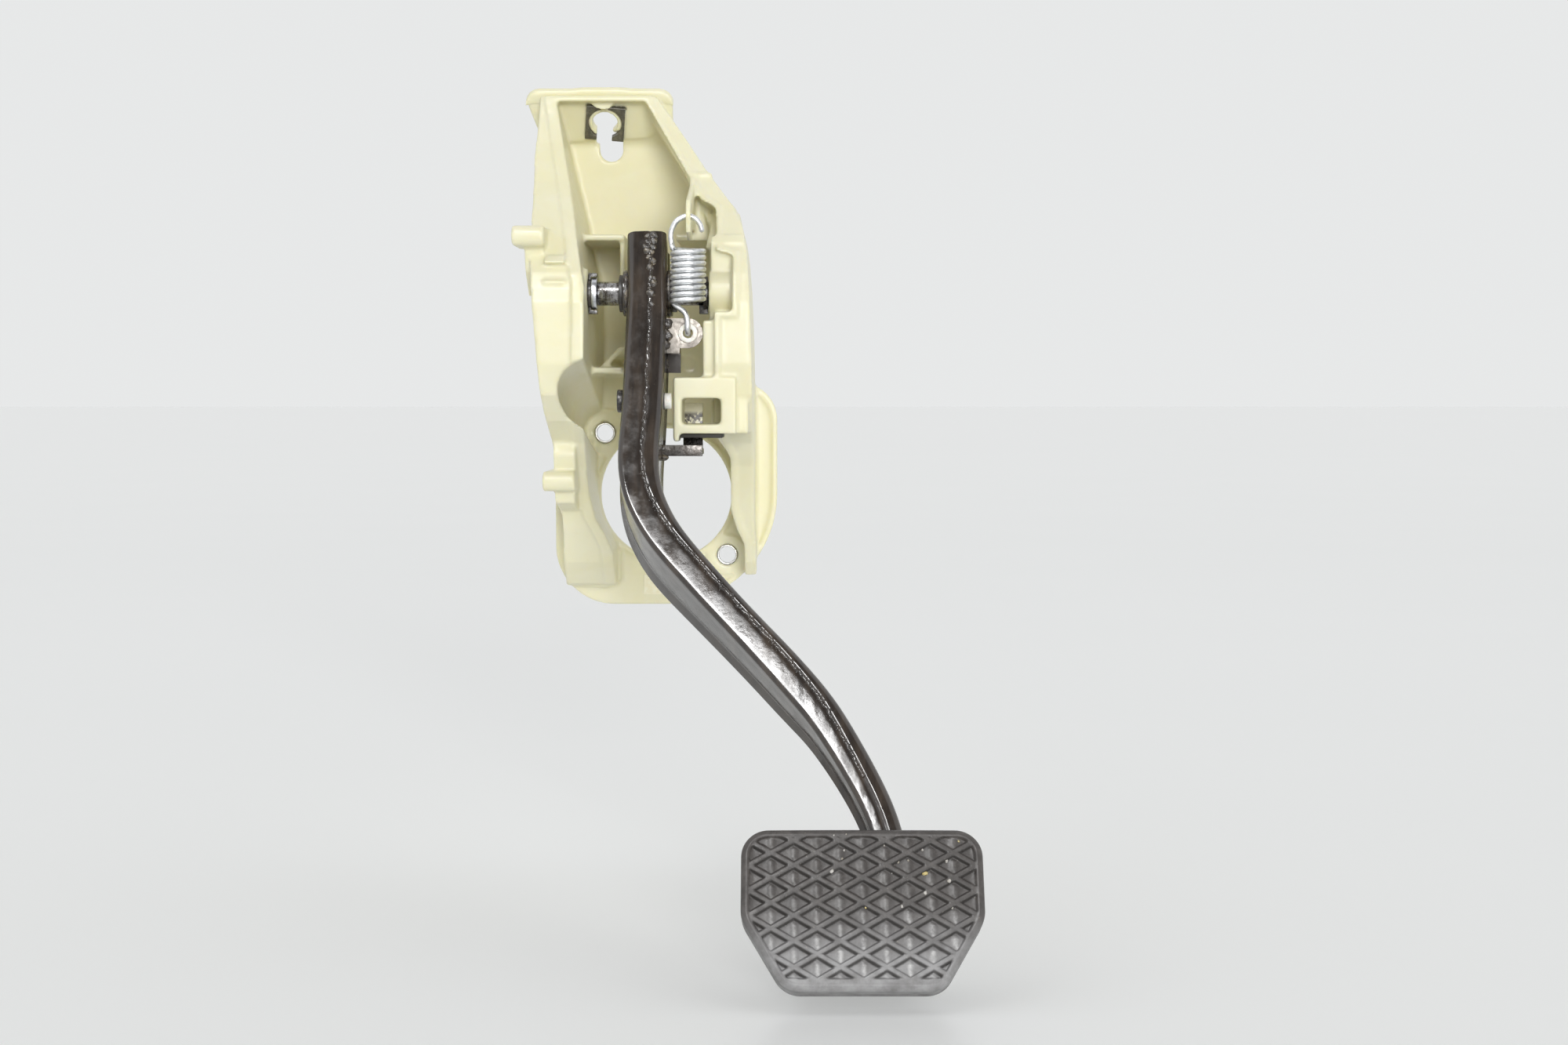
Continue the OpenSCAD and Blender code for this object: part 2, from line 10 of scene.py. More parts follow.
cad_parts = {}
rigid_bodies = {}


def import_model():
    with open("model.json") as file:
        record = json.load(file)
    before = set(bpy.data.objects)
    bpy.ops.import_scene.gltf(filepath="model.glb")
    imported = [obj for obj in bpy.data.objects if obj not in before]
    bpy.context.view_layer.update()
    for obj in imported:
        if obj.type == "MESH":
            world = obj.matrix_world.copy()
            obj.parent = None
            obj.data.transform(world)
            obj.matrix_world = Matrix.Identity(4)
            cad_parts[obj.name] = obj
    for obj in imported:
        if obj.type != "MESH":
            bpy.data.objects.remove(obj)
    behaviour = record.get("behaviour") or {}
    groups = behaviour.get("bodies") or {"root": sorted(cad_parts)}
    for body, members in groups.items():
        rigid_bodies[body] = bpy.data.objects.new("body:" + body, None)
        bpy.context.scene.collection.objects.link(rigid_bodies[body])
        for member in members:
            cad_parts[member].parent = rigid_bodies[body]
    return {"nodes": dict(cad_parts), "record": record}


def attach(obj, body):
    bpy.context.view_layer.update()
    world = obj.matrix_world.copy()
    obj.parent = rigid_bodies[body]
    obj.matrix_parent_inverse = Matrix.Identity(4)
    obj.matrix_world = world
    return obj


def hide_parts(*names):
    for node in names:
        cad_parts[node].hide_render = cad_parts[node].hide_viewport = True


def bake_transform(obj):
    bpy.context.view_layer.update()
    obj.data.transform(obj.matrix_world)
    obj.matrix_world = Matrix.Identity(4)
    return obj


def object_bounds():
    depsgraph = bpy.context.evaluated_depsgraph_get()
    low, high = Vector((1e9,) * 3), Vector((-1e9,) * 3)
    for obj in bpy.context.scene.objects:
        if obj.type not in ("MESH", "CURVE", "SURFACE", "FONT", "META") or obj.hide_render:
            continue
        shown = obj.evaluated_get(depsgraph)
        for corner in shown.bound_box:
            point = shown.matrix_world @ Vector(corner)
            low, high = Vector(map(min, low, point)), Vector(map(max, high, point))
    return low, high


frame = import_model()
cad_box = [list(map(float, c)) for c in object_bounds()]
random.seed(7)
MM = 0.001

# ------------------------------------------------------------------ camera
scene = bpy.context.scene
cam_data = bpy.data.cameras.new("camera")
cam = bpy.data.objects.new("camera", cam_data)
scene.collection.objects.link(cam)
cam.location = (0.0599, -1.0994, 0.0484)
cam.rotation_euler = (math.radians(86.70), 0.0, 0.0)
cam_data.sensor_width = 36.0
cam_data.lens = 49.39
cam_data.clip_start = 0.02
scene.camera = cam

# ------------------------------------------------------------------ helpers


def new_obj(name, mesh, body, smooth=True):
    o = bpy.data.objects.new(name, mesh)
    scene.collection.objects.link(o)
    if smooth:
        for p in mesh.polygons:
            p.use_smooth = True
    if body:
        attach(o, body)
    return o


def mesh_from(name, verts, faces):
    me = bpy.data.meshes.new(name)
    me.from_pydata([tuple(map(float, v)) for v in verts], [], faces)
    me.validate()
    me.update()
    return me


def fix_normals(me):
    bm = bmesh.new()
    bm.from_mesh(me)
    bmesh.ops.recalc_face_normals(bm, faces=bm.faces)
    bm.to_mesh(me)
    bm.free()


def with_modifiers(o):
    """The object's mesh with its modifiers applied, as a new mesh."""
    dg = bpy.context.evaluated_depsgraph_get()
    me = bpy.data.meshes.new_from_object(o.evaluated_get(dg))
    return me


def cad_copy(node, name, bevel=0.25, segments=3, angle=28.0, sharp=35.0):
    """A rounded copy of a CAD node's mesh, as a visible piece that stands for it."""
    src = frame["nodes"][node]
    bm = bmesh.new()
    bm.from_mesh(src.data)
    bmesh.ops.remove_doubles(bm, verts=bm.verts, dist=2e-6)
    bmesh.ops.dissolve_limit(bm, angle_limit=math.radians(1.0), verts=bm.verts, edges=bm.edges)
    me = bpy.data.meshes.new(name)
    bm.to_mesh(me)
    bm.free()
    o = bpy.data.objects.new(name, me)
    scene.collection.objects.link(o)
    if bevel:
        b = o.modifiers.new("bevel", "BEVEL")
        b.width = bevel * MM
        b.segments = segments
        b.limit_method = "ANGLE"
        b.angle_limit = math.radians(angle)
        b.use_clamp_overlap = True
        b.harden_normals = False
    out = with_modifiers(o)
    o.modifiers.clear()
    old = o.data
    o.data = out
    bpy.data.meshes.remove(old)
    o.data.name = name
    for p in o.data.polygons:
        p.use_smooth = True
    o.data.set_sharp_from_angle(angle=math.radians(sharp))
    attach(o, body_of[node])
    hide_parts(node)
    return o


body_of = {}
for b, ns in frame["record"]["behaviour"]["bodies"].items():
    for n in ns:
        body_of[n] = b


def catmull(pts, per):
    """A smooth line through the points, per steps to each span. Works for any number of columns."""
    p = np.array(pts, float)
    p = np.vstack([2 * p[0] - p[1], p, 2 * p[-1] - p[-2]])
    out = []
    for i in range(1, len(p) - 2):
        a, b, c, d = p[i - 1], p[i], p[i + 1], p[i + 2]
        for k in range(per):
            t = k / per
            out.append(0.5 * ((2 * b) + (c - a) * t + (2 * a - 5 * b + 4 * c - d) * t * t
                              + (-a + 3 * b - 3 * c + d) * t ** 3))
    out.append(p[-2])
    return np.array(out)


def tube(name, path, radius, sides, body, taper=None):
    """A round wire along a path, with rounded ends."""
    P = np.array(path, float)
    n = len(P)
    T = np.gradient(P, axis=0)
    T /= np.linalg.norm(T, axis=1)[:, None]
    N = np.array([1.0, 0, 0])
    if abs(T[0] @ N) > 0.9:
        N = np.array([0, 1.0, 0])
    verts, faces = [], []
    rr = np.full(n, radius) if np.isscalar(radius) else np.array(radius, float)
    for i in range(n):
        N = N - T[i] * (N @ T[i])
        N /= np.linalg.norm(N)
        B = np.cross(T[i], N)
        for k in range(sides):
            a = 2 * math.pi * k / sides
            verts.append(P[i] + rr[i] * (math.cos(a) * N + math.sin(a) * B))
    for i in range(n - 1):
        for k in range(sides):
            m = (k + 1) % sides
            faces.append((i * sides + k, i * sides + m, (i + 1) * sides + m, (i + 1) * sides + k))
    # domed ends
    for end, i, d in ((0, 0, -1.0), (1, n - 1, 1.0)):
        base = i * sides
        ring = [base + k for k in range(sides)]
        prev = ring
        for f in (0.5, 0.85):
            new = []
            for k in ring:
                v = P[i] + (verts[k] - P[i]) * math.sqrt(1 - f * f) + d * T[i] * rr[i] * f
                new.append(len(verts))
                verts.append(v)
            for k in range(sides):
                m = (k + 1) % sides
                q = (prev[k], new[k], new[m], prev[m])
                faces.append(q if end else q[::-1])
            prev = new
        tip = len(verts)
        verts.append(P[i] + d * T[i] * rr[i])
        for k in range(sides):
            m = (k + 1) % sides
            q = (prev[k], tip, prev[m])
            faces.append(q if end else q[::-1])
    me = mesh_from(name, verts, faces)
    fix_normals(me)
    return new_obj(name, me, body)


def rings_mesh(name, rings, body, cap_first=True, cap_last=True, close_rings=True):
    """Skins a list of rings with the same number of points."""
    m = len(rings[0])
    verts = [v for r in rings for v in r]
    faces = []
    for i in range(len(rings) - 1):
        for k in range(m if close_rings else m - 1):
            j = (k + 1) % m
            faces.append((i * m + k, i * m + j, (i + 1) * m + j, (i + 1) * m + k))
    if cap_first:
        faces.append(tuple(range(m - 1, -1, -1)))
    if cap_last:
        faces.append(tuple((len(rings) - 1) * m + k for k in range(m)))
    me = mesh_from(name, verts, faces)
    fix_normals(me)
    return new_obj(name, me, body)


def lump(name, centre, size, body, seed=0, rough=0.35, detail=3, freq=180.0):
    """A small irregular bead of weld or grease."""
    bm = bmesh.new()
    bmesh.ops.create_icosphere(bm, subdivisions=detail, radius=1.0)
    c = Vector(centre)
    for v in bm.verts:
        d = Vector((v.co.x * size[0], v.co.y * size[1], v.co.z * size[2]))
        q = (c + d) * freq + Vector((seed * 3.7, seed * 1.3, 0))
        k = 1.0 + rough * noise.noise(q) + 0.4 * rough * noise.noise(q * 2.7)
        v.co = c + d * k
    me = bpy.data.meshes.new(name)
    bm.to_mesh(me)
    bm.free()
    return new_obj(name, me, body)


# arm's frame: X across, V up along the arm, C out of its front face
PIVOT = np.array([0.0, -95.0, 97.0])
TH = math.radians(90 - 29.11)
AX = np.array([1.0, 0, 0])
AV = np.array([0.0, math.cos(TH), math.sin(TH)])
AC = np.array([0.0, -math.sin(TH), math.cos(TH)])


def arm_pt(x, v, c):
    return (PIVOT + AX * x + AV * v + AC * c) * MM


# ------------------------------------------------------------------ materials


class Mat:
    """A small builder for procedural materials. Sizes of texture are in millimetres."""

    def __init__(self, name, base, rough=0.5, metal=0.0, **more):
        self.m = bpy.data.materials.new(name)
        self.m.use_nodes = True
        self.nt = self.m.node_tree
        self.n = self.nt.nodes
        self.l = self.nt.links
        self.b = self.n["Principled BSDF"]
        self.b.inputs["Base Color"].default_value = (*base, 1)
        self.b.inputs["Roughness"].default_value = rough
        self.b.inputs["Metallic"].default_value = metal
        for k, v in more.items():
            self.b.inputs[k.replace("_", " ")].default_value = v
        self.tc = self.n.new("ShaderNodeTexCoord")
        self.height = None

    def coords(self, stretch=(1, 1, 1), rot=(0, 0, 0), shift=(0, 0, 0)):
        mp = self.n.new("ShaderNodeMapping")
        mp.inputs["Scale"].default_value = stretch
        mp.inputs["Rotation"].default_value = rot
        mp.inputs["Location"].default_value = shift
        self.l.new(self.tc.outputs["Object"], mp.inputs["Vector"])
        return mp.outputs["Vector"]

    def noise(self, size_mm, detail=3.0, rough=0.55, stretch=(1, 1, 1), rot=(0, 0, 0), distort=0.0, shift=(0, 0, 0)):
        t = self.n.new("ShaderNodeTexNoise")
        t.inputs["Scale"].default_value = 1.0 / (size_mm * MM)
        t.inputs["Detail"].default_value = detail
        t.inputs["Roughness"].default_value = rough
        t.inputs["Distortion"].default_value = distort
        self.l.new(self.coords(stretch, rot, shift), t.inputs["Vector"])
        return t.outputs["Fac"]

    def cells(self, size_mm, feature="F1", stretch=(1, 1, 1), randomness=1.0):
        t = self.n.new("ShaderNodeTexVoronoi")
        t.feature = feature
        t.inputs["Scale"].default_value = 1.0 / (size_mm * MM)
        t.inputs["Randomness"].default_value = randomness
        self.l.new(self.coords(stretch), t.inputs["Vector"])
        return t.outputs["Distance"]

    def ramp(self, fac, lo, hi, a=0.0, b=1.0, smooth=True):
        r = self.n.new("ShaderNodeMapRange")
        r.interpolation_type = "SMOOTHSTEP" if smooth else "LINEAR"
        r.inputs["From Min"].default_value = lo
        r.inputs["From Max"].default_value = hi
        r.inputs["To Min"].default_value = a
        r.inputs["To Max"].default_value = b
        self.l.new(fac, r.inputs["Value"])
        return r.outputs["Result"]

    def math(self, op, a, b=None):
        m = self.n.new("ShaderNodeMath")
        m.operation = op
        for i, v in enumerate((a, b)):
            if v is None:
                continue
            if isinstance(v, (int, float)):
                m.inputs[i].default_value = v
            else:
                self.l.new(v, m.inputs[i])
        return m.outputs[0]

    def axis(self, which):
        s = self.n.new("ShaderNodeSeparateXYZ")
        self.l.new(self.tc.outputs["Object"], s.inputs[0])
        return s.outputs[which]

    def mix(self, fac, a, b):
        m = self.n.new("ShaderNodeMix")
        m.data_type = "RGBA"
        for sock, v in ((m.inputs[0], fac), (m.inputs[6], a), (m.inputs[7], b)):
            if isinstance(v, (int, float)):
                sock.default_value = v
            elif isinstance(v, tuple):
                sock.default_value = (*v, 1)
            else:
                self.l.new(v, sock)
        return m.outputs[2]

    def base(self, sock):
        self.l.new(sock, self.b.inputs["Base Color"])

    def rough(self, sock):
        self.l.new(sock, self.b.inputs["Roughness"])

    def bump(self, fac, depth_mm, strength=1.0):
        """Adds a bump whose full height is depth_mm."""
        bp = self.n.new("ShaderNodeBump")
        bp.inputs["Strength"].default_value = strength
        bp.inputs["Distance"].default_value = depth_mm * MM
        self.l.new(fac, bp.inputs["Height"])
        if self.height is not None:
            self.l.new(self.height, bp.inputs["Normal"])
        self.height = bp.outputs["Normal"]
        self.l.new(self.height, self.b.inputs["Normal"])


def paint(o, m):
    o.data.materials.clear()
    o.data.materials.append(m.m)


# pale yellow glass-filled nylon
nylon = Mat("cream_nylon", (0.80, 0.74, 0.40), 0.36, Subsurface_Weight=0.22, Subsurface_Scale=0.0035,
            Specular_IOR_Level=0.42)
nylon.b.inputs["Subsurface Radius"].default_value = (1.0, 0.75, 0.28)
big = nylon.noise(28, 4, 0.6, distort=0.4)
fine = nylon.noise(3.2, 4, 0.62)
spots = nylon.ramp(nylon.noise(9, 5, 0.7, shift=(3, 1, 2)), 0.62, 0.78)
c1 = nylon.mix(nylon.ramp(big, 0.3, 0.72), (0.785, 0.757, 0.555), (0.765, 0.73, 0.49))
c2 = nylon.mix(nylon.math("MULTIPLY", spots, 0.16), c1, (0.66, 0.58, 0.33))
nylon.base(c2)
nylon.rough(nylon.ramp(fine, 0.25, 0.75, 0.28, 0.46))
nylon.bump(nylon.noise(11, 2, 0.5), 0.10)
nylon.bump(nylon.noise(1.1, 3, 0.6), 0.012)

# glossy dip paint on the arm: runs, orange peel, dust and oil
paintm = Mat("arm_paint", (0.035, 0.030, 0.027), 0.17, Specular_IOR_Level=0.75)
streak = paintm.noise(5.0, 4, 0.6, stretch=(1.0, 0.16, 0.16))
dust = paintm.ramp(paintm.noise(2.0, 5, 0.75), 0.60, 0.72)
pc = paintm.mix(paintm.ramp(streak, 0.35, 0.75), (0.026, 0.021, 0.018), (0.062, 0.047, 0.036))
pc = paintm.mix(paintm.math("MULTIPLY", dust, 0.30), pc, (0.16, 0.14, 0.115))
paintm.base(pc)
paintm.rough(paintm.ramp(paintm.noise(7, 4, 0.65), 0.3, 0.75, 0.10, 0.24))
paintm.bump(paintm.noise(9.0, 2, 0.5, stretch=(1, 0.3, 0.3)), 0.16)
paintm.bump(paintm.noise(1.6, 2, 0.5), 0.02)

# the same paint where it is thick with weld and grease
greasy = Mat("greasy_weld", (0.045, 0.037, 0.030), 0.2, Specular_IOR_Level=0.7)
gc = greasy.mix(greasy.ramp(greasy.noise(2.4, 4, 0.7), 0.45, 0.68), (0.035, 0.029, 0.025), (0.17, 0.135, 0.085))
greasy.base(gc)
greasy.rough(greasy.ramp(greasy.noise(1.8, 3, 0.6), 0.3, 0.7, 0.10, 0.42))
greasy.bump(greasy.noise(1.3, 4, 0.65), 0.30)
greasy.bump(greasy.noise(3.4, 2, 0.5), 0.5)

# worn rubber: lighter towards the bottom, partly wear and partly a painted sheen, with painted shade and painted
# highlights in the tread's pits
rubber = Mat("pad_rubber", (0.060, 0.054, 0.050), 0.5, Specular_IOR_Level=0.45)
z = rubber.axis("Z")
# lower part painted lighter, partly wear and partly a painted sheen; the very bottom edge gets less of it
low = rubber.math("MULTIPLY", rubber.ramp(z, -0.148, -0.178), rubber.ramp(z, -0.182, -0.191, 1.0, 0.35))
film = rubber.noise(6, 5, 0.7, distort=0.6)
rc = rubber.mix(rubber.ramp(film, 0.35, 0.75), (0.050, 0.044, 0.041), (0.095, 0.086, 0.080))
wear_and_sheen = rubber.ramp(rubber.noise(7, 4, 0.6, shift=(2, 0, 1)), 0.25, 0.70, 0.45, 1.0)
rc = rubber.mix(rubber.math("MULTIPLY", rubber.math("MULTIPLY", low, wear_and_sheen), 0.95), rc, (0.33, 0.328, 0.33))
# per-point attribute: above 0 is painted shade in the pits, below 0 is painted highlight on ridges and lower pits
ga = rubber.n.new("ShaderNodeAttribute")
ga.attribute_name = "grime"
shade = rubber.ramp(ga.outputs["Fac"], 0.0, 1.0)
shine = rubber.ramp(ga.outputs["Fac"], 0.0, -1.0)
patchy = rubber.ramp(rubber.noise(2.2, 4, 0.65), 0.35, 0.65, 0.35, 1.0)
# painted shade under the pits' upper edges
rc = rubber.mix(rubber.math("MULTIPLY", shade, 0.85), rc, (0.026, 0.023, 0.021))
# painted highlights on the ridges and random pits, stronger lower down
rc = rubber.mix(rubber.math("MULTIPLY", rubber.math("MULTIPLY", shine, patchy), rubber.ramp(z, -0.142, -0.178, 0.12, 0.95)),
                rc, (0.60, 0.595, 0.59))
speck = rubber.ramp(rubber.noise(1.1, 2, 0.5), 0.70, 0.76)
rc = rubber.mix(rubber.math("MULTIPLY", speck, 0.35), rc, (0.30, 0.27, 0.22))
rubber.base(rc)
rubber.rough(rubber.ramp(rubber.noise(4, 4, 0.65), 0.3, 0.75, 0.36, 0.56))
rubber.bump(rubber.noise(0.7, 4, 0.65), 0.05)
rubber.bump(rubber.noise(5, 3, 0.6), 0.12)

crumb = Mat("dirt_crumbs", (0.42, 0.40, 0.36), 0.7)
crumb.base(crumb.mix(crumb.ramp(crumb.noise(4.0, 2, 0.5), 0.42, 0.62), (0.50, 0.48, 0.45), (0.34, 0.31, 0.25)))
crumb.bump(crumb.noise(0.4, 3, 0.6), 0.08)
ochre = Mat("dirt_ochre", (0.55, 0.45, 0.16), 0.7)
ochre.base(ochre.mix(ochre.ramp(ochre.noise(0.8, 2, 0.5), 0.42, 0.62), (0.58, 0.50, 0.26), (0.52, 0.40, 0.12)))
ochre.bump(ochre.noise(0.4, 3, 0.6), 0.08)

# zinc plated spring wire
zinc = Mat("spring_zinc", (0.66, 0.67, 0.68), 0.34, 1.0)
zc = zinc.mix(zinc.ramp(zinc.noise(3.5, 5, 0.7), 0.42, 0.72), (0.74, 0.75, 0.76), (0.50, 0.51, 0.52))
zinc.base(zc)
zinc.rough(zinc.ramp(zinc.noise(1.2, 4, 0.65), 0.3, 0.7, 0.26, 0.50))
zinc.bump(zinc.noise(0.5, 3, 0.6), 0.015)

# turned bare steel of the sleeves
steel = Mat("sleeve_steel", (0.62, 0.62, 0.61), 0.3, 1.0)
steel.base(steel.mix(steel.ramp(steel.noise(2.5, 4, 0.7), 0.4, 0.75), (0.66, 0.66, 0.65), (0.46, 0.45, 0.43)))
steel.bump(steel.noise(0.35, 2, 0.5, stretch=(1, 6, 1)), 0.02)

clamp = Mat("clamp_steel", (0.20, 0.195, 0.18), 0.45, 0.85)
clamp.base(clamp.mix(clamp.ramp(clamp.noise(2.6, 5, 0.7), 0.38, 0.72), (0.15, 0.145, 0.13), (0.27, 0.255, 0.225)))
clamp.rough(clamp.ramp(clamp.noise(1.2, 4, 0.6), 0.3, 0.7, 0.34, 0.6))
clamp.bump(clamp.noise(0.45, 3, 0.6), 0.03)

axle_m = Mat("axle_steel", (0.30, 0.29, 0.285), 0.2, 0.95)
axle_m.base(axle_m.mix(axle_m.ramp(axle_m.noise(2.2, 5, 0.72, stretch=(1, 0.6, 0.6)), 0.40, 0.66),
                       (0.34, 0.335, 0.335), (0.045, 0.036, 0.028)))
axle_m.rough(axle_m.ramp(axle_m.noise(1.5, 4, 0.65), 0.3, 0.7, 0.10, 0.34))
axle_m.bump(axle_m.noise(2.2, 4, 0.65), 0.14)

collar_m = Mat("collar_zinc", (0.62, 0.64, 0.68), 0.28, 1.0)
collar_m.base(collar_m.mix(collar_m.ramp(collar_m.noise(2.0, 4, 0.7), 0.45, 0.7), (0.66, 0.68, 0.72), (0.40, 0.41, 0.43)))
collar_m.bump(collar_m.noise(0.4, 2, 0.5), 0.015)

clip_m = Mat("clip_black", (0.03, 0.027, 0.024), 0.3, Specular_IOR_Level=0.6)
clip_m.base(clip_m.mix(clip_m.ramp(clip_m.noise(1.6, 4, 0.7), 0.45, 0.7), (0.022, 0.020, 0.019), (0.075, 0.062, 0.048)))
clip_m.rough(clip_m.ramp(clip_m.noise(1.0, 3, 0.6), 0.3, 0.7, 0.16, 0.45))
clip_m.bump(clip_m.noise(1.2, 3, 0.6), 0.08)

buffer_m = Mat("buffer_rubber", (0.022, 0.020, 0.019), 0.6)
bz = buffer_m.axis("Z")
dark = buffer_m.mix(buffer_m.noise(2.0, 4, 0.7), (0.016, 0.015, 0.014), (0.05, 0.045, 0.04))
mark = buffer_m.math("MULTIPLY", buffer_m.ramp(buffer_m.noise(2.4, 3, 0.6), 0.44, 0.56), buffer_m.ramp(bz, 0.0425, 0.0405))
pale = buffer_m.mix(mark, (0.80, 0.765, 0.56), (0.07, 0.06, 0.05))
buffer_m.base(buffer_m.mix(buffer_m.ramp(bz, 0.0330, 0.0336), dark, pale))
buffer_m.bump(buffer_m.noise(0.8, 3, 0.6), 0.05)

label_m = Mat("label_film", (0.86, 0.82, 0.60), 0.42)
label_m.base(label_m.mix(label_m.ramp(label_m.noise(3, 4, 0.65), 0.35, 0.7), (0.87, 0.84, 0.64), (0.82, 0.76, 0.52)))
label_m.bump(label_m.noise(2.0, 3, 0.6), 0.03)

bush_m = Mat("bush_plastic", (0.03, 0.028, 0.026), 0.42)
bush_m.base(bush_m.mix(bush_m.ramp(bush_m.noise(2, 4, 0.7), 0.45, 0.7), (0.024, 0.022, 0.02), (0.08, 0.065, 0.05)))
bush_m.bump(bush_m.noise(0.8, 3, 0.6), 0.04)

white_m = Mat("white_plastic", (0.82, 0.80, 0.74), 0.38, Subsurface_Weight=0.1, Subsurface_Scale=0.001)
white_m.base(white_m.mix(white_m.ramp(white_m.noise(1.8, 4, 0.7), 0.5, 0.75), (0.84, 0.825, 0.77), (0.62, 0.55, 0.42)))
white_m.bump(white_m.noise(0.8, 3, 0.6), 0.03)

lug_m = Mat("lug_steel", (0.42, 0.385, 0.34), 0.42, 0.9)
lug_c = lug_m.mix(lug_m.ramp(lug_m.noise(3, 5, 0.7), 0.38, 0.72), (0.27, 0.25, 0.225), (0.19, 0.17, 0.15))
lug_low = lug_m.ramp(lug_m.axis("Z"), 0.0692, 0.0684)
lug_m.base(lug_m.mix(lug_low, lug_c, lug_m.mix(lug_m.noise(2, 3, 0.6), (0.030, 0.025, 0.022), (0.055, 0.045, 0.038))))
lug_m.l.new(lug_m.ramp(lug_m.axis("Z"), 0.0692, 0.0684, 0.9, 0.1), lug_m.b.inputs["Metallic"])
lug_m.rough(lug_m.ramp(lug_m.noise(1.5, 4, 0.6), 0.3, 0.7, 0.34, 0.55))
lug_m.bump(lug_m.noise(0.5, 3, 0.6), 0.02)

tab_m = Mat("tab_steel", (0.17, 0.16, 0.15), 0.26, 0.9)
tz = tab_m.axis("Z")
plain = tab_m.mix(tab_m.ramp(tab_m.noise(2.4, 5, 0.7), 0.4, 0.7), (0.075, 0.070, 0.066), (0.035, 0.030, 0.026))
smudge = tab_m.math("MULTIPLY", tab_m.ramp(tab_m.noise(2.4, 3, 0.6), 0.40, 0.52), tab_m.ramp(tz, 0.0430, 0.0405))
capped = tab_m.ramp(tz, 0.0335, 0.0340)
tab_m.base(tab_m.mix(capped, plain, tab_m.mix(smudge, (0.78, 0.745, 0.56), (0.07, 0.06, 0.05))))
tab_m.l.new(tab_m.ramp(tz, 0.0335, 0.0340, 0.9, 0.0), tab_m.b.inputs["Metallic"])
tab_m.rough(tab_m.ramp(tab_m.noise(1.4, 4, 0.6), 0.3, 0.7, 0.16, 0.42))
tab_m.bump(tab_m.noise(1.0, 3, 0.6), 0.05)

# ------------------------------------------------------------------ bracket


def moulded(node, name, voxel_mm, passes, tris):
    """The CAD node as one moulding with soft edges: remeshed, smoothed and thinned."""
    src = frame["nodes"][node]
    bm = bmesh.new()
    bm.from_mesh(src.data)
    bmesh.ops.remove_doubles(bm, verts=bm.verts, dist=2e-6)
    me = bpy.data.meshes.new(name)
    bm.to_mesh(me)
    bm.free()
    o = bpy.data.objects.new(name, me)
    scene.collection.objects.link(o)
    r = o.modifiers.new("remesh", "REMESH")
    r.mode = "VOXEL"
    r.voxel_size = voxel_mm * MM
    r.adaptivity = 0.0
    r.use_smooth_shade = True
    s = o.modifiers.new("smooth", "SMOOTH")
    s.factor = 0.5
    s.iterations = passes
    got = with_modifiers(o)
    o.modifiers.clear()
    o.data = got
    n = sum(len(p.vertices) - 2 for p in got.polygons)
    if n > tris:
        d = o.modifiers.new("decimate", "DECIMATE")
        d.ratio = tris / n
        o.data = with_modifiers(o)
        o.modifiers.clear()
    o.data.name = name
    for p in o.data.polygons:
        p.use_smooth = True
    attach(o, body_of[node])
    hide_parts(node)
    return o


bracket = moulded("bracket", "pedal_bracket", 0.9, 5, 185000)
paint(bracket, nylon)

# the round boss ends above the clamp plate's seat
to_plate = (Matrix.Translation(Vector((-28.8, -21.9, 185.7)) * MM) @ Matrix.Rotation(math.radians(39.7), 4, "X")
            @ Matrix.Rotation(math.radians(6), 4, "Y"))
back = to_plate.inverted()
for v in bracket.data.vertices:
    q = back @ v.co
    if abs(q.x) < 9.7 * MM and q.y < -0.2 * MM and 4.5 * MM < q.z < 9.9 * MM and math.hypot(q.x, q.z) > 8.7 * MM:
        q.z = 9.9 * MM
        v.co = to_plate @ q
bracket.data.update()

# a small rib in the hollow wall behind the switch window
rings = []
for k in range(13):
    f = k / 12
    end = math.sqrt(max(1 - (2 * f - 1) ** 6, 0.02))
    rings.append([np.array([30.1 + 3.0 * math.copysign(abs(math.cos(a)) ** 0.5, math.cos(a)) * end,
                            -84.6 + 1.1 * math.copysign(abs(math.sin(a)) ** 0.6, math.sin(a)) * end, 33.5 + 18 * f]) * MM
                  for a in [2 * math.pi * m / 20 for m in range(20)]])
o = rings_mesh("window_rib", rings, "bracket")
paint(o, nylon)

# the top flange's rounded, raised edge
rings = []
for k in range(61):
    x = -67.4 + 72.6 * (0.5 - 0.5 * math.cos(math.pi * k / 60))
    end = min(x + 67.4, 5.2 - x)
    t = 4.6 + 0.7 * math.exp(-((x + 29.4) / 13) ** 8)
    if end < 7.5:
        t -= 7.5 - math.sqrt(max(7.5 ** 2 - (7.5 - end) ** 2, 0.0))
    ring = []
    for m in range(24):
        a = 2 * math.pi * m / 24
        n = 2.35 * math.copysign(abs(math.cos(a)) ** 0.6, math.cos(a))
        h = (t + 3.4) / 2 * math.copysign(abs(math.sin(a)) ** 0.6, math.sin(a)) + (t - 3.4) / 2
        ring.append(np.array([x, -29.0 - 0.627 * h - 0.778 * n, 196.4 + 0.778 * h - 0.627 * n]) * MM)
    rings.append(ring)
o = rings_mesh("top_flange_edge", rings, "bracket")
paint(o, nylon)

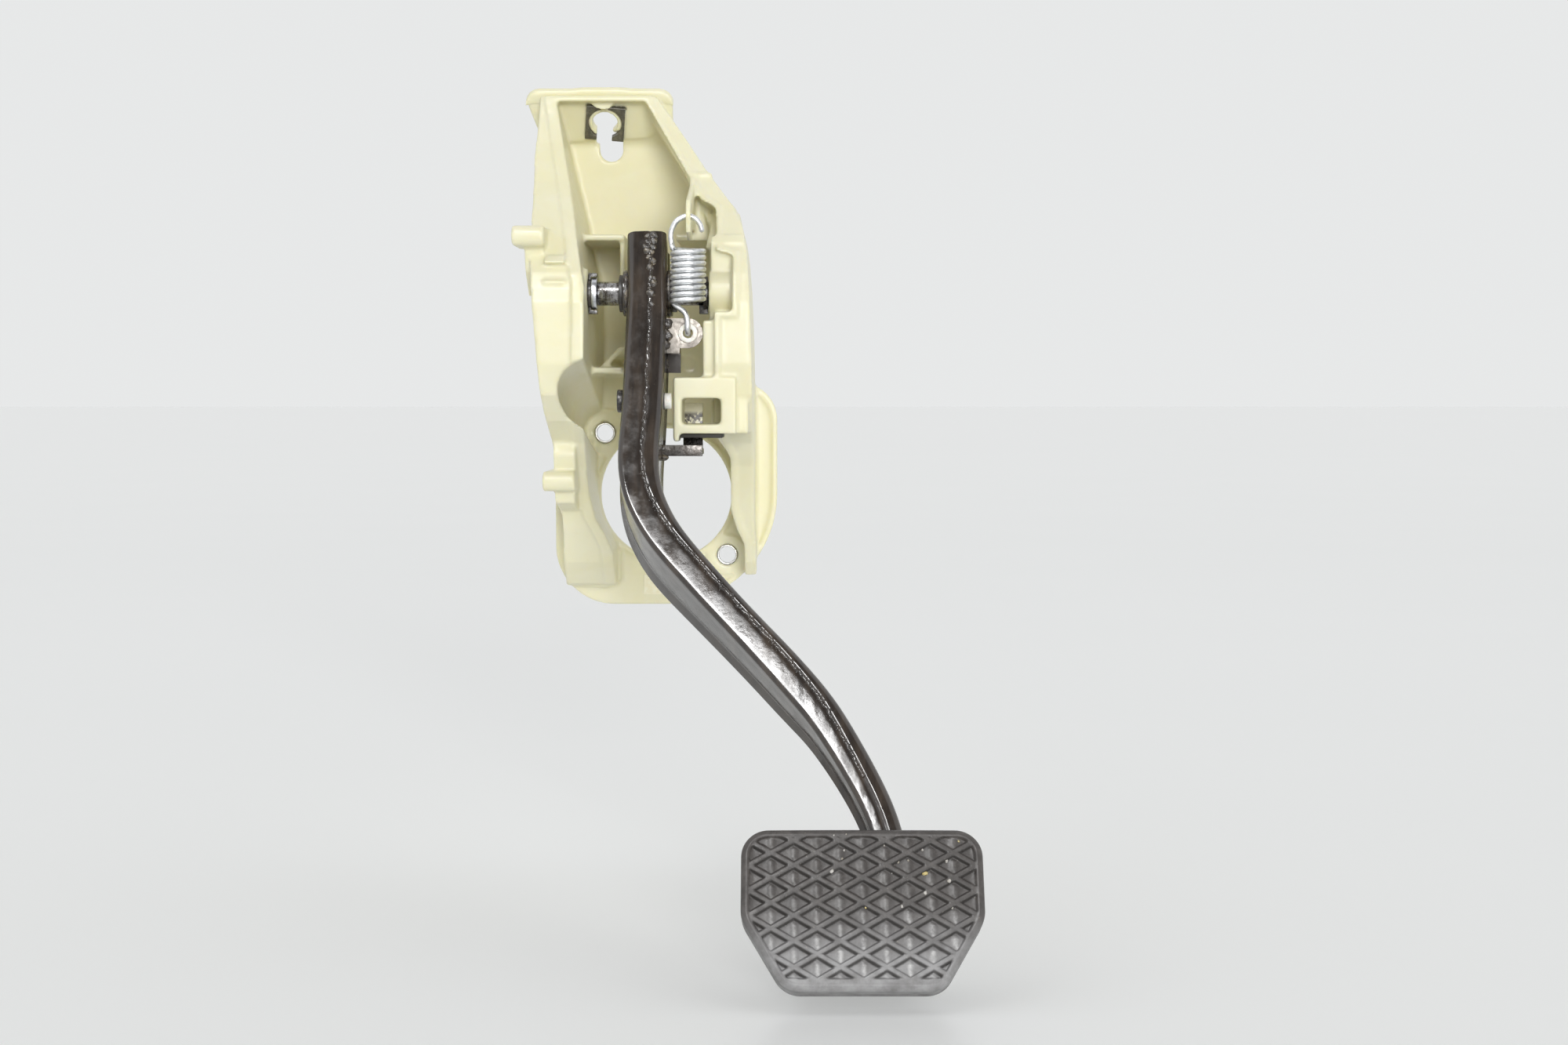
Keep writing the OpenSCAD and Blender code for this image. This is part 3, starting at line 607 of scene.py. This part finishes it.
# ------------------------------------------------------------------ small CAD pieces, rounded
for node, name, m, bev in (
    ("bolt_sleeve_upper", "upper_bolt_sleeve", steel, 0.25), ("bolt_sleeve_lower", "lower_bolt_sleeve", steel, 0.25),
    ("top_clamp_plate", "clamp_plate", clamp, 0.3), ("pivot_axle", "axle", axle_m, 0.0),
    ("axle_collar", "bright_collar", collar_m, 0.35), ("axle_clip", "spring_clip", clip_m, 0.3),
    ("axle_washer", "dark_washer", clip_m, 0.3), ("stop_buffer", "rest_buffer", buffer_m, 0.4),
    ("blank_label", "label_patch", label_m, 0.1), ("hub_tube", "hub", paintm, 0.5),
    ("bush_left", "left_bush", bush_m, 0.3), ("bush_right", "right_bush", bush_m, 0.3),
    ("pushrod_pin", "rod_pin", clip_m, 0.5), ("pushrod_sleeve", "rod_sleeve", white_m, 0.4),
    ("spring_lug", "lug", lug_m, 0.45), ("spring_eyelet", "eyelet", white_m, 0.35),
    ("switch_tab", "switch_strip", tab_m, 0.5), ("pad_plate", "foot_plate", paintm, 0.6),
):
    paint(cad_copy(node, name, bev), m)

# ------------------------------------------------------------------ pedal arm
ARM = [
    (-4, -26.5, 9.2), (-3.4, -9, 9.3), (-3, 8, 9.3), (-3.1, 24, 9.3), (-3.3, 40, 9.3), (-3.5, 62, 9.2),
    (-4.3, 78, 9.1), (-4.8, 91, 9.1), (-3.5, 102.6, 8.9), (-0.8, 112.0, 8.6), (4.0, 122.5, 8.3), (10.8, 133.1, 8.1),
    (19.4, 143.6, 7.9), (28.2, 154.2, 7.8), (36.6, 164.0, 7.7), (45.0, 173.6, 7.7), (55.5, 185.5, 7.9),
    (65.4, 197.3, 8.0), (73.1, 207.0, 7.8), (79.7, 216.8, 7.5), (88.5, 232.4, 7.1), (96.3, 247.9, 6.8),
    (101.7, 262.5, 6.6), (104.8, 279.9, 6.6), (107.0, 301.9, 6.6)]
REAR = [(-27, -12.5), (0, -12.5), (35, -14), (57, -17), (90, -23.5), (118, -29), (138, -27), (158, -22.5), (185, -19.5),
        (200, -18.0), (215, -13), (230, -8.5), (250, -6.5), (302, -5.3)]
line = catmull(ARM, 6)
K = np.ones(9) / 9
for col in range(3):
    padded = np.concatenate([2 * line[0, col] - line[4:0:-1, col], line[:, col], 2 * line[-1, col] - line[-2:-6:-1, col]])
    line[:, col] = np.convolve(padded, K, mode="valid")
HD = 12.45
seam = np.interp(line[:, 1], [0, 60, 94, 109, 131, 153, 185, 203, 212, 228, 242, 262, 300],
                 [1.6, 1.6, 1.5, 2.2, 3.3, 3.6, 3.2, 2.8, 1.9, 0.6, 0.0, 0.0, 0.0])
seam = np.convolve(np.pad(seam, 6, mode="edge"), np.ones(13) / 13, mode="valid")
# the front corners are rounder at the arm's head than along its slanted part
round_l = np.interp(line[:, 1], [0, 70, 110, 240, 300], [3.9, 3.6, 2.3, 2.1, 2.4])
rear_s = np.array([r[0] for r in REAR], float)
rear_c = np.array([r[1] for r in REAR], float)
rear = np.interp(line[:, 1], rear_s, rear_c)
rear = np.convolve(np.pad(rear, 5, mode="edge"), np.ones(11) / 11, mode="valid") + 0.1


def arm_rings(side):
    """Closed sections of one pressed half shell along the arm. side -1 is the left half, 1 the right."""
    n = len(line)
    Q = np.stack([line[:, 0], -line[:, 1]], axis=1)
    T = np.gradient(Q, axis=0)
    T /= np.linalg.norm(T, axis=1)[:, None]
    R = np.stack([-T[:, 1], T[:, 0]], axis=1)      # towards +X
    rings = []
    for i in range(n):
        w = line[i, 2] - 0.05
        hd = HD
        hr = rear[i]
        rf = round_l[i] if side < 0 else 3.4      # corner radius at the front face
        rb = 4.0
        sm = seam[i]
        out = []
        wide = abs(side * w - sm)

        def front(a):
            dip = 0.5 * math.exp(-(a / 0.8) ** 2)
            if side < 0:
                return hd - dip - 0.30 * (a / wide) ** 2
            return hd - dip - 0.11 * a - 0.006 * a * a
        # outer line, from the front seam round to the rear seam
        for k in range(9):
            a = k / 8 * (wide - rf)
            out.append((sm + side * a, front(a)))
        ca, cc = side * (w - rf), front(wide - rf) - rf
        for k in range(1, 9):
            t = k / 8 * math.pi / 2
            out.append((ca + side * rf * math.sin(t), cc + rf * math.cos(t)))
        cb = hr + rb
        for k in range(1, 8):
            f = k / 8
            bulge = 0.25 * math.sin(math.pi * f)
            out.append((side * (w - 0.25 + bulge), cc * (1 - f) + cb * f))
        for k in range(0, 9):
            t = k / 8 * math.pi / 2
            out.append((ca + side * rb * math.cos(t), cb - rb * math.sin(t)))
        for k in range(1, 6):
            f = k / 5
            out.append((ca * (1 - f) + sm * f, hr + 0.5 * math.exp(-((1 - f) * 5) ** 2)))
        # inner line, back again
        th = 2.3
        inn = []
        for (a, c) in reversed(out):
            ia = min(max(a, -(w - th)), sm) if side < 0 else max(min(a, w - th), sm)
            inn.append((ia, max(min(c, hd - th), hr + th)))
        ring = []
        for (a, c) in out + inn:
            x, v = Q[i] + R[i] * a
            ring.append(arm_pt(x, v, c))
        rings.append(ring)
    return rings


for side, node, name in ((-1, "arm_left_shell", "left_half_shell"), (1, "arm_right_shell", "right_half_shell")):
    o = rings_mesh(name, arm_rings(side), "pedal")
    o.data.set_sharp_from_angle(angle=math.radians(50))
    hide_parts(node)
    paint(o, paintm)


def along(s_mm):
    """Index on the arm's middle line nearest to a distance below the pivot."""
    return int(np.argmin(abs(line[:, 1] - s_mm)))


def on_arm(i, a, c):
    Q = np.array([line[i, 0], -line[i, 1]])
    q0 = np.array([line[max(i - 1, 0), 0], -line[max(i - 1, 0), 1]])
    q1 = np.array([line[min(i + 1, len(line) - 1), 0], -line[min(i + 1, len(line) - 1), 1]])
    T = (q1 - q0) / np.linalg.norm(q1 - q0)
    R = np.array([-T[1], T[0]])
    x, v = Q + R * a
    return arm_pt(x, v, c)


# weld bead along the front and rear seams, in ragged ripples with spatter beside it
for face, name in ((1, "front_seam_weld"), (-1, "rear_seam_weld")):
    pts, rad = [], []
    i0, i1 = along(-24), along(240 if face > 0 else 296)
    step = 0
    for i in range(i0, i1):
        for h in (0, 0.25, 0.5, 0.75):
            j = min(i + 1, i1)
            p = on_arm(i, seam[i], 0) * (1 - h) + on_arm(j, seam[j], 0) * h
            q = p / MM
            wob = 0.7 * noise.noise(Vector(q) * 0.30) + 0.6 * noise.noise(Vector(q) * 0.8)
            ripple = 0.12 * math.sin(step * 1.9) + 0.75 * noise.noise(Vector(q) * 0.7 + Vector((9, 0, 0)))
            edge = HD - 0.62 if face > 0 else -(rear[i] * (1 - h) + rear[j] * h) - 0.62
            depth = edge + 0.22 * noise.noise(Vector(q) * 0.6 + Vector((0, 5, 0)))
            pts.append(p + (AX * wob + AC * face * depth) * MM)
            rad.append(max(0.45, 0.95 + ripple) * MM)
            step += 1
    o = tube(name, pts, rad, 10, "pedal")
    paint(o, paintm)
spat = bmesh.new()
for k in range(150):
    s0 = random.uniform(108, 236)
    i = along(s0)
    r = random.uniform(0.16, 0.5)
    c = Vector(on_arm(i, seam[i] + random.gauss(0.0, 0.9), HD - 0.12))
    got = bmesh.ops.create_icosphere(spat, subdivisions=2, radius=r * MM)
    for v in got["verts"]:
        v.co = c + v.co * (1 + 0.35 * noise.noise(v.co * 3000 + c * 900))
me = bpy.data.meshes.new("weld_spatter")
spat.to_mesh(me)
spat.free()
o = new_obj("weld_spatter", me, "pedal")
paint(o, paintm)

# lumpy weld that closes the arm's top end
top = []
for k in range(15):
    t = k / 14
    ring = []
    for m in range(40):
        ang = 2 * math.pi * m / 40
        ca, sa = math.cos(ang), math.sin(ang)
        e = 0.55
        ea = math.copysign(abs(ca) ** e, ca) * 8.4 * math.sqrt(max(1 - t ** 2.6, 0.0004))
        ec = math.copysign(abs(sa) ** e, sa) * 11.6 * math.sqrt(max(1 - t ** 2.6, 0.0004))
        nz = noise.noise(Vector((ea * 0.22, ec * 0.22, t * 1.5))) * 1.5 + noise.noise(Vector((ea * 0.6, ec * 0.6, 3 + t))) * 0.6
        up = 24.6 + 3.0 * math.sqrt(t) + nz * min(1, t * 3) - 0.6
        ring.append(arm_pt(-4.0 + ea, min(up, 28.3), ec))
    top.append(ring)
o = rings_mesh("top_end_weld", top, "pedal")
paint(o, greasy)

# weld and grease in lumps down the front of the arm's head
for k in range(30):
    s = -25 + 38 * (k / 29) ** 1.2 + random.uniform(-1.5, 1.5)
    i = along(s)
    a = seam[i] + random.uniform(-2.0, 3.0) * (0.5 + 0.5 * (1 - k / 29))
    c = HD - 0.35
    r = random.uniform(0.7, 1.7)
    lump("head_weld_%02d" % k, on_arm(i, a, c), (r * MM * 1.2, r * MM * 0.6, r * MM * 1.3), "pedal", k, 0.5, 3, 420)
    paint(bpy.data.objects["head_weld_%02d" % k], greasy)

# weld rings round the hub tube
for name, x in (("left_hub_weld", -13.0), ("right_hub_weld", 6.9)):
    pts, rad = [], []
    for k in range(73):
        a = 2 * math.pi * k / 72
        rr = 9.6 + 0.25 * math.sin(9 * a) * 0.5
        pts.append((PIVOT + np.array([x, rr * math.cos(a), rr * math.sin(a)])) * MM)
        rad.append((1.25 + 0.22 * noise.noise(Vector((math.cos(a) * 4, math.sin(a) * 4, x))) + 0.1 * math.sin(26 * a)) * MM)
    o = tube(name, pts, rad, 10, "pedal")
    paint(o, greasy)

# welds of the spring lug and the switch strip
for k, (p, r) in enumerate((
    ((6.6, -112.4, 82.0), (2.4, 1.8, 2.6)), ((6.2, -112.8, 77.4), (2.2, 1.9, 2.8)), ((5.9, -112.6, 73.2), (2.3, 1.7, 2.2)),
    ((6.8, -104, 70.4), (1.8, 3.0, 1.4)), ((5.4, -102.4, 64.4), (1.6, 1.6, 3.0)),
    ((5.2, -122.6, 25.6), (2.2, 2.0, 2.0)), ((5.0, -122.4, 21.8), (2.6, 2.0, 1.5)),
)):
    o = lump("lug_weld_%d" % k, [c * MM for c in p], [c * MM for c in r], "pedal", 40 + k, 0.45, 4, 300)
    paint(o, greasy)

# ------------------------------------------------------------------ return spring
SX, R0 = 16.0, 7.0
low_hook = [(16, -106.4, 80.4), (16, -107, 78.6), (16, -109, 78), (16, -112, 78), (16, -115, 78.2), (16, -116.6, 79.6),
            (16, -117, 82), (15.8, -116.6, 85), (14.6, -115.6, 87.6), (12.4, -114, 89.4), (10.2, -112.6, 91)]
up_hook = [(8.4, -107.4, 119.4), (8, -107.2, 122.6), (8.6, -107.4, 126), (10.4, -107.8, 129.2), (13, -108, 131),
           (16, -108, 131.8), (19, -108, 130.8), (21.2, -107.8, 128.4), (22.2, -107.6, 125.6)]
coil = []
for k in range(9 * 36 + 1):
    t = k / 36
    a = math.pi + 2 * math.pi * t
    coil.append((SX + R0 * math.cos(a), -111 + 2.4 * t / 9 + R0 * math.sin(a), 92.6 + 2.72 * t))
lo = catmull(low_hook + [coil[0], coil[3]], 6)[:-7]
hi = catmull([coil[-4], coil[-1]] + up_hook, 6)[7:]
wire = np.vstack([lo, np.array(coil), hi]) * MM
spring = tube("tension_spring", wire, 1.27 * MM, 14, None)
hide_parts("return_spring")
paint(spring, zinc)

# ------------------------------------------------------------------ rubber pad
PX, PTOP, PBOT = 91.1, -265.6, -331.1
corner = [(0, PTOP, 0), (48.4, PTOP, 11.0), (48.4, -302.4, 14.0), (31.4, PBOT, 11.5), (0, PBOT, 0)]


def rounded(points, step):
    """The right half of the pad's outline, from the middle of the top edge to the middle of the bottom one."""
    out = [np.array(points[0][:2], float)]
    for i in range(1, len(points) - 1):
        p = np.array(points[i][:2], float)
        a = np.array(points[i - 1][:2], float) - p
        b = np.array(points[i + 1][:2], float) - p
        a /= np.linalg.norm(a)
        b /= np.linalg.norm(b)
        r = points[i][2]
        half = math.acos(max(-1, min(1, float(a @ b)))) / 2
        d = r / math.tan(half)
        c = p + (a + b) / np.linalg.norm(a + b) * r / math.sin(half)
        s, e = p + a * d, p + b * d
        a0 = math.atan2(*(s - c)[::-1])
        a1 = math.atan2(*(e - c)[::-1])
        da = (a1 - a0 + math.pi) % (2 * math.pi) - math.pi
        for k in range(13):
            t = a0 + da * k / 12
            out.append(c + r * np.array([math.cos(t), math.sin(t)]))
    out.append(np.array(points[-1][:2], float))
    P = np.array(out)
    L = np.concatenate([[0], np.cumsum(np.linalg.norm(np.diff(P, axis=0), axis=1))])
    n = int(L[-1] / step)
    t = np.linspace(0, L[-1], n + 1)
    return np.stack([np.interp(t, L, P[:, 0]), np.interp(t, L, P[:, 1])], axis=1)


half = rounded(corner, 0.8)
outline = np.vstack([half, (half * [-1, 1])[::-1][1:-1]])      # whole loop, about the pad's middle
NO = len(outline)
tang = np.roll(outline, -1, 0) - np.roll(outline, 1, 0)
tang /= np.linalg.norm(tang, axis=1)[:, None]
inward = np.stack([tang[:, 1], -tang[:, 0]], axis=1)
if (inward[10] @ (np.array([0, -300]) - outline[10])) < 0:
    inward = -inward
kd = KDTree(NO)
for k, p in enumerate(outline):
    kd.insert((p[0], p[1], 0), k)
kd.balance()


def edge_distance(x, v):
    co, k, d = kd.find((x, v, 0))
    t = tang[k]
    w = np.array([x, v]) - outline[k]
    return abs(float(w @ inward[k])) if d < 3 else d


WD, HDM = 18.2, 10.3


def face_height(x, v, d):
    """Height of the pad's face over the arm's plane."""
    crown = 23.6 - 1.5 * ((v + 296) / 36) ** 2 - 0.7 * (x / 48) ** 2
    h = crown
    # diamonds
    best = 9.0
    bx = by = 0
    for off in (0.0, 0.5):
        i = round(x / WD - off)
        j = round((v + 270.4) / HDM + off)
        dx = x - (i + off) * WD
        dy = v + 270.4 - (j - off) * HDM
        m = abs(dx) / (WD / 2) + abs(dy) / (HDM / 2)
        if m < best:
            best, bx, by = m, dx, dy
    dist = (1 - best) * 4.48
    bottom = -v - 320 > 0 and d < 5.2 and v < -326
    rim = 3.0 if not bottom else 4.6
    room = min(max((d - rim) / 0.7, 0), 1)
    pit = min(max((dist - 0.98) / 0.55, 0), 1)
    pit = pit * pit * (3 - 2 * pit)
    room = room * room * (3 - 2 * room)
    h -= 1.45 * pit * room
    ridge = math.exp(-(bx / 1.35) ** 2) * min(max((3.5 - abs(by)) / 1.6, 0), 1)
    h += 0.5 * ridge * pit * room
    # raised line just inside the edge
    h += 0.25 * math.exp(-((d - 2.3) / 0.55) ** 2)
    # painted shade under the pits' upper edges, painted highlights on their ridges and on random pits in the lower rows
    shade = math.exp(-((dist - 1.25) / 0.75) ** 2) * (1.0 if by > 0 else 0.25) * room if dist > 0.3 else 0.0
    pick = noise.noise(Vector((round((x - bx) * 7.13), round((v - by) * 5.31), 0.5)) * 0.371)
    shine = pit * room * (0.75 * math.exp(-(bx / 1.1) ** 2) + 0.45 * max(0.0, pick + 0.1)) * (1.0 if by < 1.5 else 0.4)
    face_height.grime = shade - 0.9 * shine
    # rounded edge
    if d < 2.2:
        h -= 2.2 - math.sqrt(max(2.2 ** 2 - (2.2 - d) ** 2, 0))
    return h


rows = half
M = 230
verts, faces, grime = [], [], []
us = np.linspace(-1, 1, M + 1)
us = np.sign(us) * (1 - (1 - abs(us)) ** 1.12)
inner = [k for k in range(1, len(rows) - 1) if rows[k][1] < PTOP - 0.02 and rows[k][1] > PBOT + 0.02]
# rows of points across the pad, dense where the outline turns
vs = sorted(set(np.round(np.concatenate([
    np.linspace(PTOP - 0.02, PBOT + 0.02, 160),
    PTOP - 11 * (1 - np.cos(np.linspace(0.03, 1.57, 22))),
    PBOT + 4 * (1 - np.cos(np.linspace(0.05, 1.57, 12)))]), 3)), reverse=True)
keep = [vs[0]]
for v in vs[1:]:
    if keep[-1] - v > 0.12 or v == vs[-1]:
        keep.append(v)
vs = keep
hv = rows[:, 1][::-1]
hw = rows[:, 0][::-1]
side_pts = [(p[0], p[1]) for p in rows]
# right edge as a function of height on the pad
edge_v = np.array([p[1] for p in side_pts])
edge_w = np.array([p[0] for p in side_pts])
order = np.argsort(-edge_v, kind="stable")
mono_v, mono_w = [], []
for k in range(len(edge_v)):
    if not mono_v or edge_v[k] < mono_v[-1] - 1e-6:
        mono_v.append(edge_v[k])
        mono_w.append(edge_w[k])
    elif k < len(edge_v) / 2:
        mono_w[-1] = max(mono_w[-1], edge_w[k])
mono_v, mono_w = np.array(mono_v), np.array(mono_w)


def half_width(v):
    return float(np.interp(-v, -mono_v, mono_w))


for v in vs:
    w = half_width(v)
    for u in us:
        x = u * w
        d = edge_distance(x, v)
        verts.append(arm_pt(PX + x, v, face_height(x, v, d)))
        grime.append(face_height.grime)
nr, nc = len(vs), len(us)
for i in range(nr - 1):
    for k in range(nc - 1):
        faces.append((i * nc + k, (i + 1) * nc + k, (i + 1) * nc + k + 1, i * nc + k + 1))
# boundary loop of the face, then the sides, the lip and the pocket behind
loop = [k for k in range(nc)] + [i * nc + nc - 1 for i in range(1, nr)] \
    + [(nr - 1) * nc + k for k in range(nc - 2, -1, -1)] + [i * nc for i in range(nr - 2, 0, -1)]
pos = []
for k in loop:
    p = np.array(verts[k]) / MM - PIVOT
    pos.append((p @ AX - PX, p @ AV, p @ AC))
pos = np.array(pos)
c2 = pos[:, :2]
nin = []
for p in c2:
    co, k, d = kd.find((p[0], p[1], 0))
    nin.append(inward[k])
nin = np.array(nin)


def notch(p):
    """1 where the arm passes under the pad's top edge."""
    if p[1] < -285:
        return 0.0
    return min(max((14.5 - abs(p[0] - 11.6)) / 2.0, 0), 1)


levels = [  # inset, height over the arm's plane
    (0.12, 20.4), (0.0, 19.4), (0.25, 17.0), (0.55, 14.6), (0.35, 13.6), (0.2, 12.6), (0.5, 11.2), (1.4, 10.45),
    (2.6, 10.3), (9.6, 10.3), (10.2, 10.8), (10.2, 12.3), (4.6, 12.4), (4.45, 12.6), (4.45, 15.6)]
prev = loop
for li, (inset, c) in enumerate(levels):
    ring = []
    for k, p in enumerate(c2):
        nt = notch(p)
        q_in, q_c = inset, c
        if c < 12.45:
            q_c = c * (1 - nt) + 12.4 * nt
            if inset > 2.0 and inset != 4.6:
                q_in = inset * (1 - nt) + 2.2 * nt
        if li < 2:
            q_c = min(q_c, pos[k, 2] - 0.15 * (li + 1))
        q = p + nin[k] * q_in
        ring.append(len(verts))
        verts.append(arm_pt(PX + q[0], q[1], q_c))
    for k in range(len(ring)):
        m = (k + 1) % len(ring)
        faces.append((prev[k], prev[m], ring[m], ring[k]))
    prev = ring
faces.append(tuple(prev))
me = mesh_from("tread_pad", verts, faces)
fix_normals(me)
grime += [0.0] * (len(me.vertices) - len(grime))
# stores the tread's painted shade and painted highlights per point
me.attributes.new("grime", "FLOAT", "POINT").data.foreach_set("value", grime)
pad = new_obj("tread_pad", me, "pedal")
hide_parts("pad_rubber")
paint(pad, rubber)

# dirt crumbs caught in the tread, most of them at the upper right
crumbs = [(24.7, -284.0, 1.2, 1), (-12.2, -283.5, 0.75, 0), (-7.2, -274.3, 0.5, 0), (33.6, -278.7, 0.65, 0), (34.2, -287.4, 0.8, 0),
          (24.1, -274.1, 0.55, 0), (14.5, -279.3, 0.55, 0), (24.7, -292.4, 0.75, 0), (15.4, -297.8, 0.6, 0), (8.9, -272.4, 0.45, 0),
          (-11.2, -268.4, 0.4, 0), (-6.3, -268.1, 0.35, 0), (38.8, -270.4, 0.5, 1), (11.8, -283.9, 0.35, 0), (35.3, -298.2, 0.4, 0),
          (1.1, -298.2, 0.45, 1), (-7.9, -278.0, 0.4, 0), (18.4, -278.7, 0.4, 0)]
for k, (x, v, r, yellow) in enumerate(crumbs):
    d = edge_distance(x, v)
    c = face_height(x, v, d) + 0.15 * r
    o = lump("crumb_%02d" % k, arm_pt(PX + x, v, c), (r * MM * 0.9, r * MM * 0.6, r * MM), "pedal", 70 + k, 0.7, 3, 900)
    paint(o, ochre if yellow else crumb)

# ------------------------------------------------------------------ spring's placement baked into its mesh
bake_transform(spring)

# ------------------------------------------------------------------ stage and light
lo_z = min(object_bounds()[0][2], cad_box[0][2])
bm = bmesh.new()
bmesh.ops.create_grid(bm, x_segments=2, y_segments=2, size=60.0)
me = bpy.data.meshes.new("floor")
bm.to_mesh(me)
bm.free()
floor = bpy.data.objects.new("floor", me)
floor.location = (0, 0, lo_z - 0.0015)
scene.collection.objects.link(floor)
floor_m = Mat("floor_white", (0.88, 0.89, 0.885), 0.3, Specular_IOR_Level=0.3)
floor_m.base(floor_m.mix(floor_m.noise(400, 3, 0.5), (0.875, 0.885, 0.88), (0.89, 0.90, 0.895)))
paint(floor, floor_m)


def area(name, loc, target, size_x, size_y, power, colour=(1, 1, 1), spread=180):
    d = bpy.data.lights.new(name, "AREA")
    d.shape = "RECTANGLE"
    d.size, d.size_y = size_x, size_y
    d.energy = power
    d.color = colour
    d.spread = math.radians(spread)
    o = bpy.data.objects.new(name, d)
    scene.collection.objects.link(o)
    o.location = loc
    dirn = Vector(target) - Vector(loc)
    o.rotation_euler = dirn.to_track_quat("-Z", "Y").to_euler()
    return o


# a bright panel above and behind the camera, whose reflection runs down the arm
key = area("key_panel", (-0.42, -1.35, 1.20), (0.0, -0.15, -0.03), 0.88, 0.30, 24)
key.visible_camera = False
key.visible_diffuse = False
# soft light from the front, a little to the right
sun = bpy.data.lights.new("front_light", "SUN")
sun.energy = 1.7
sun.angle = math.radians(20)
so = bpy.data.objects.new("front_light", sun)
scene.collection.objects.link(so)
so.visible_camera = False
so.rotation_euler = Vector((-0.20, 1.0, -0.17)).to_track_quat("-Z", "Y").to_euler()

w = bpy.data.worlds.new("world")
scene.world = w
w.use_nodes = True
nt = w.node_tree
bg = nt.nodes["Background"]
tc = nt.nodes.new("ShaderNodeTexCoord")
sep = nt.nodes.new("ShaderNodeSeparateXYZ")
nt.links.new(tc.outputs["Generated"], sep.inputs[0])
mr = nt.nodes.new("ShaderNodeMapRange")
mr.inputs["From Min"].default_value = 0.22
mr.inputs["From Max"].default_value = 0.55
nt.links.new(sep.outputs["Z"], mr.inputs["Value"])
mx = nt.nodes.new("ShaderNodeMix")
mx.data_type = "RGBA"
mx.inputs[6].default_value = (0.80, 0.81, 0.81, 1)
mx.inputs[7].default_value = (0.95, 0.955, 0.96, 1)
nt.links.new(mr.outputs[0], mx.inputs[0])
# the unlit room behind the camera
dot = nt.nodes.new("ShaderNodeVectorMath")
dot.operation = "DOT_PRODUCT"
dot.inputs[1].default_value = (0.05, -0.52, 0.853)
nt.links.new(tc.outputs["Generated"], dot.inputs[0])
near = nt.nodes.new("ShaderNodeMapRange")
near.interpolation_type = "SMOOTHSTEP"
near.inputs["From Min"].default_value = 0.80
near.inputs["From Max"].default_value = 0.95
nt.links.new(dot.outputs["Value"], near.inputs["Value"])
room = nt.nodes.new("ShaderNodeMix")
room.data_type = "RGBA"
room.inputs[7].default_value = (0.12, 0.11, 0.10, 1)
nt.links.new(near.outputs[0], room.inputs[0])
nt.links.new(mx.outputs[2], room.inputs[6])
nt.links.new(room.outputs[2], bg.inputs["Color"])
bg.inputs["Strength"].default_value = 1.0

scene.view_settings.view_transform = "Standard"
scene.view_settings.look = "None"
scene.view_settings.exposure = 0.0
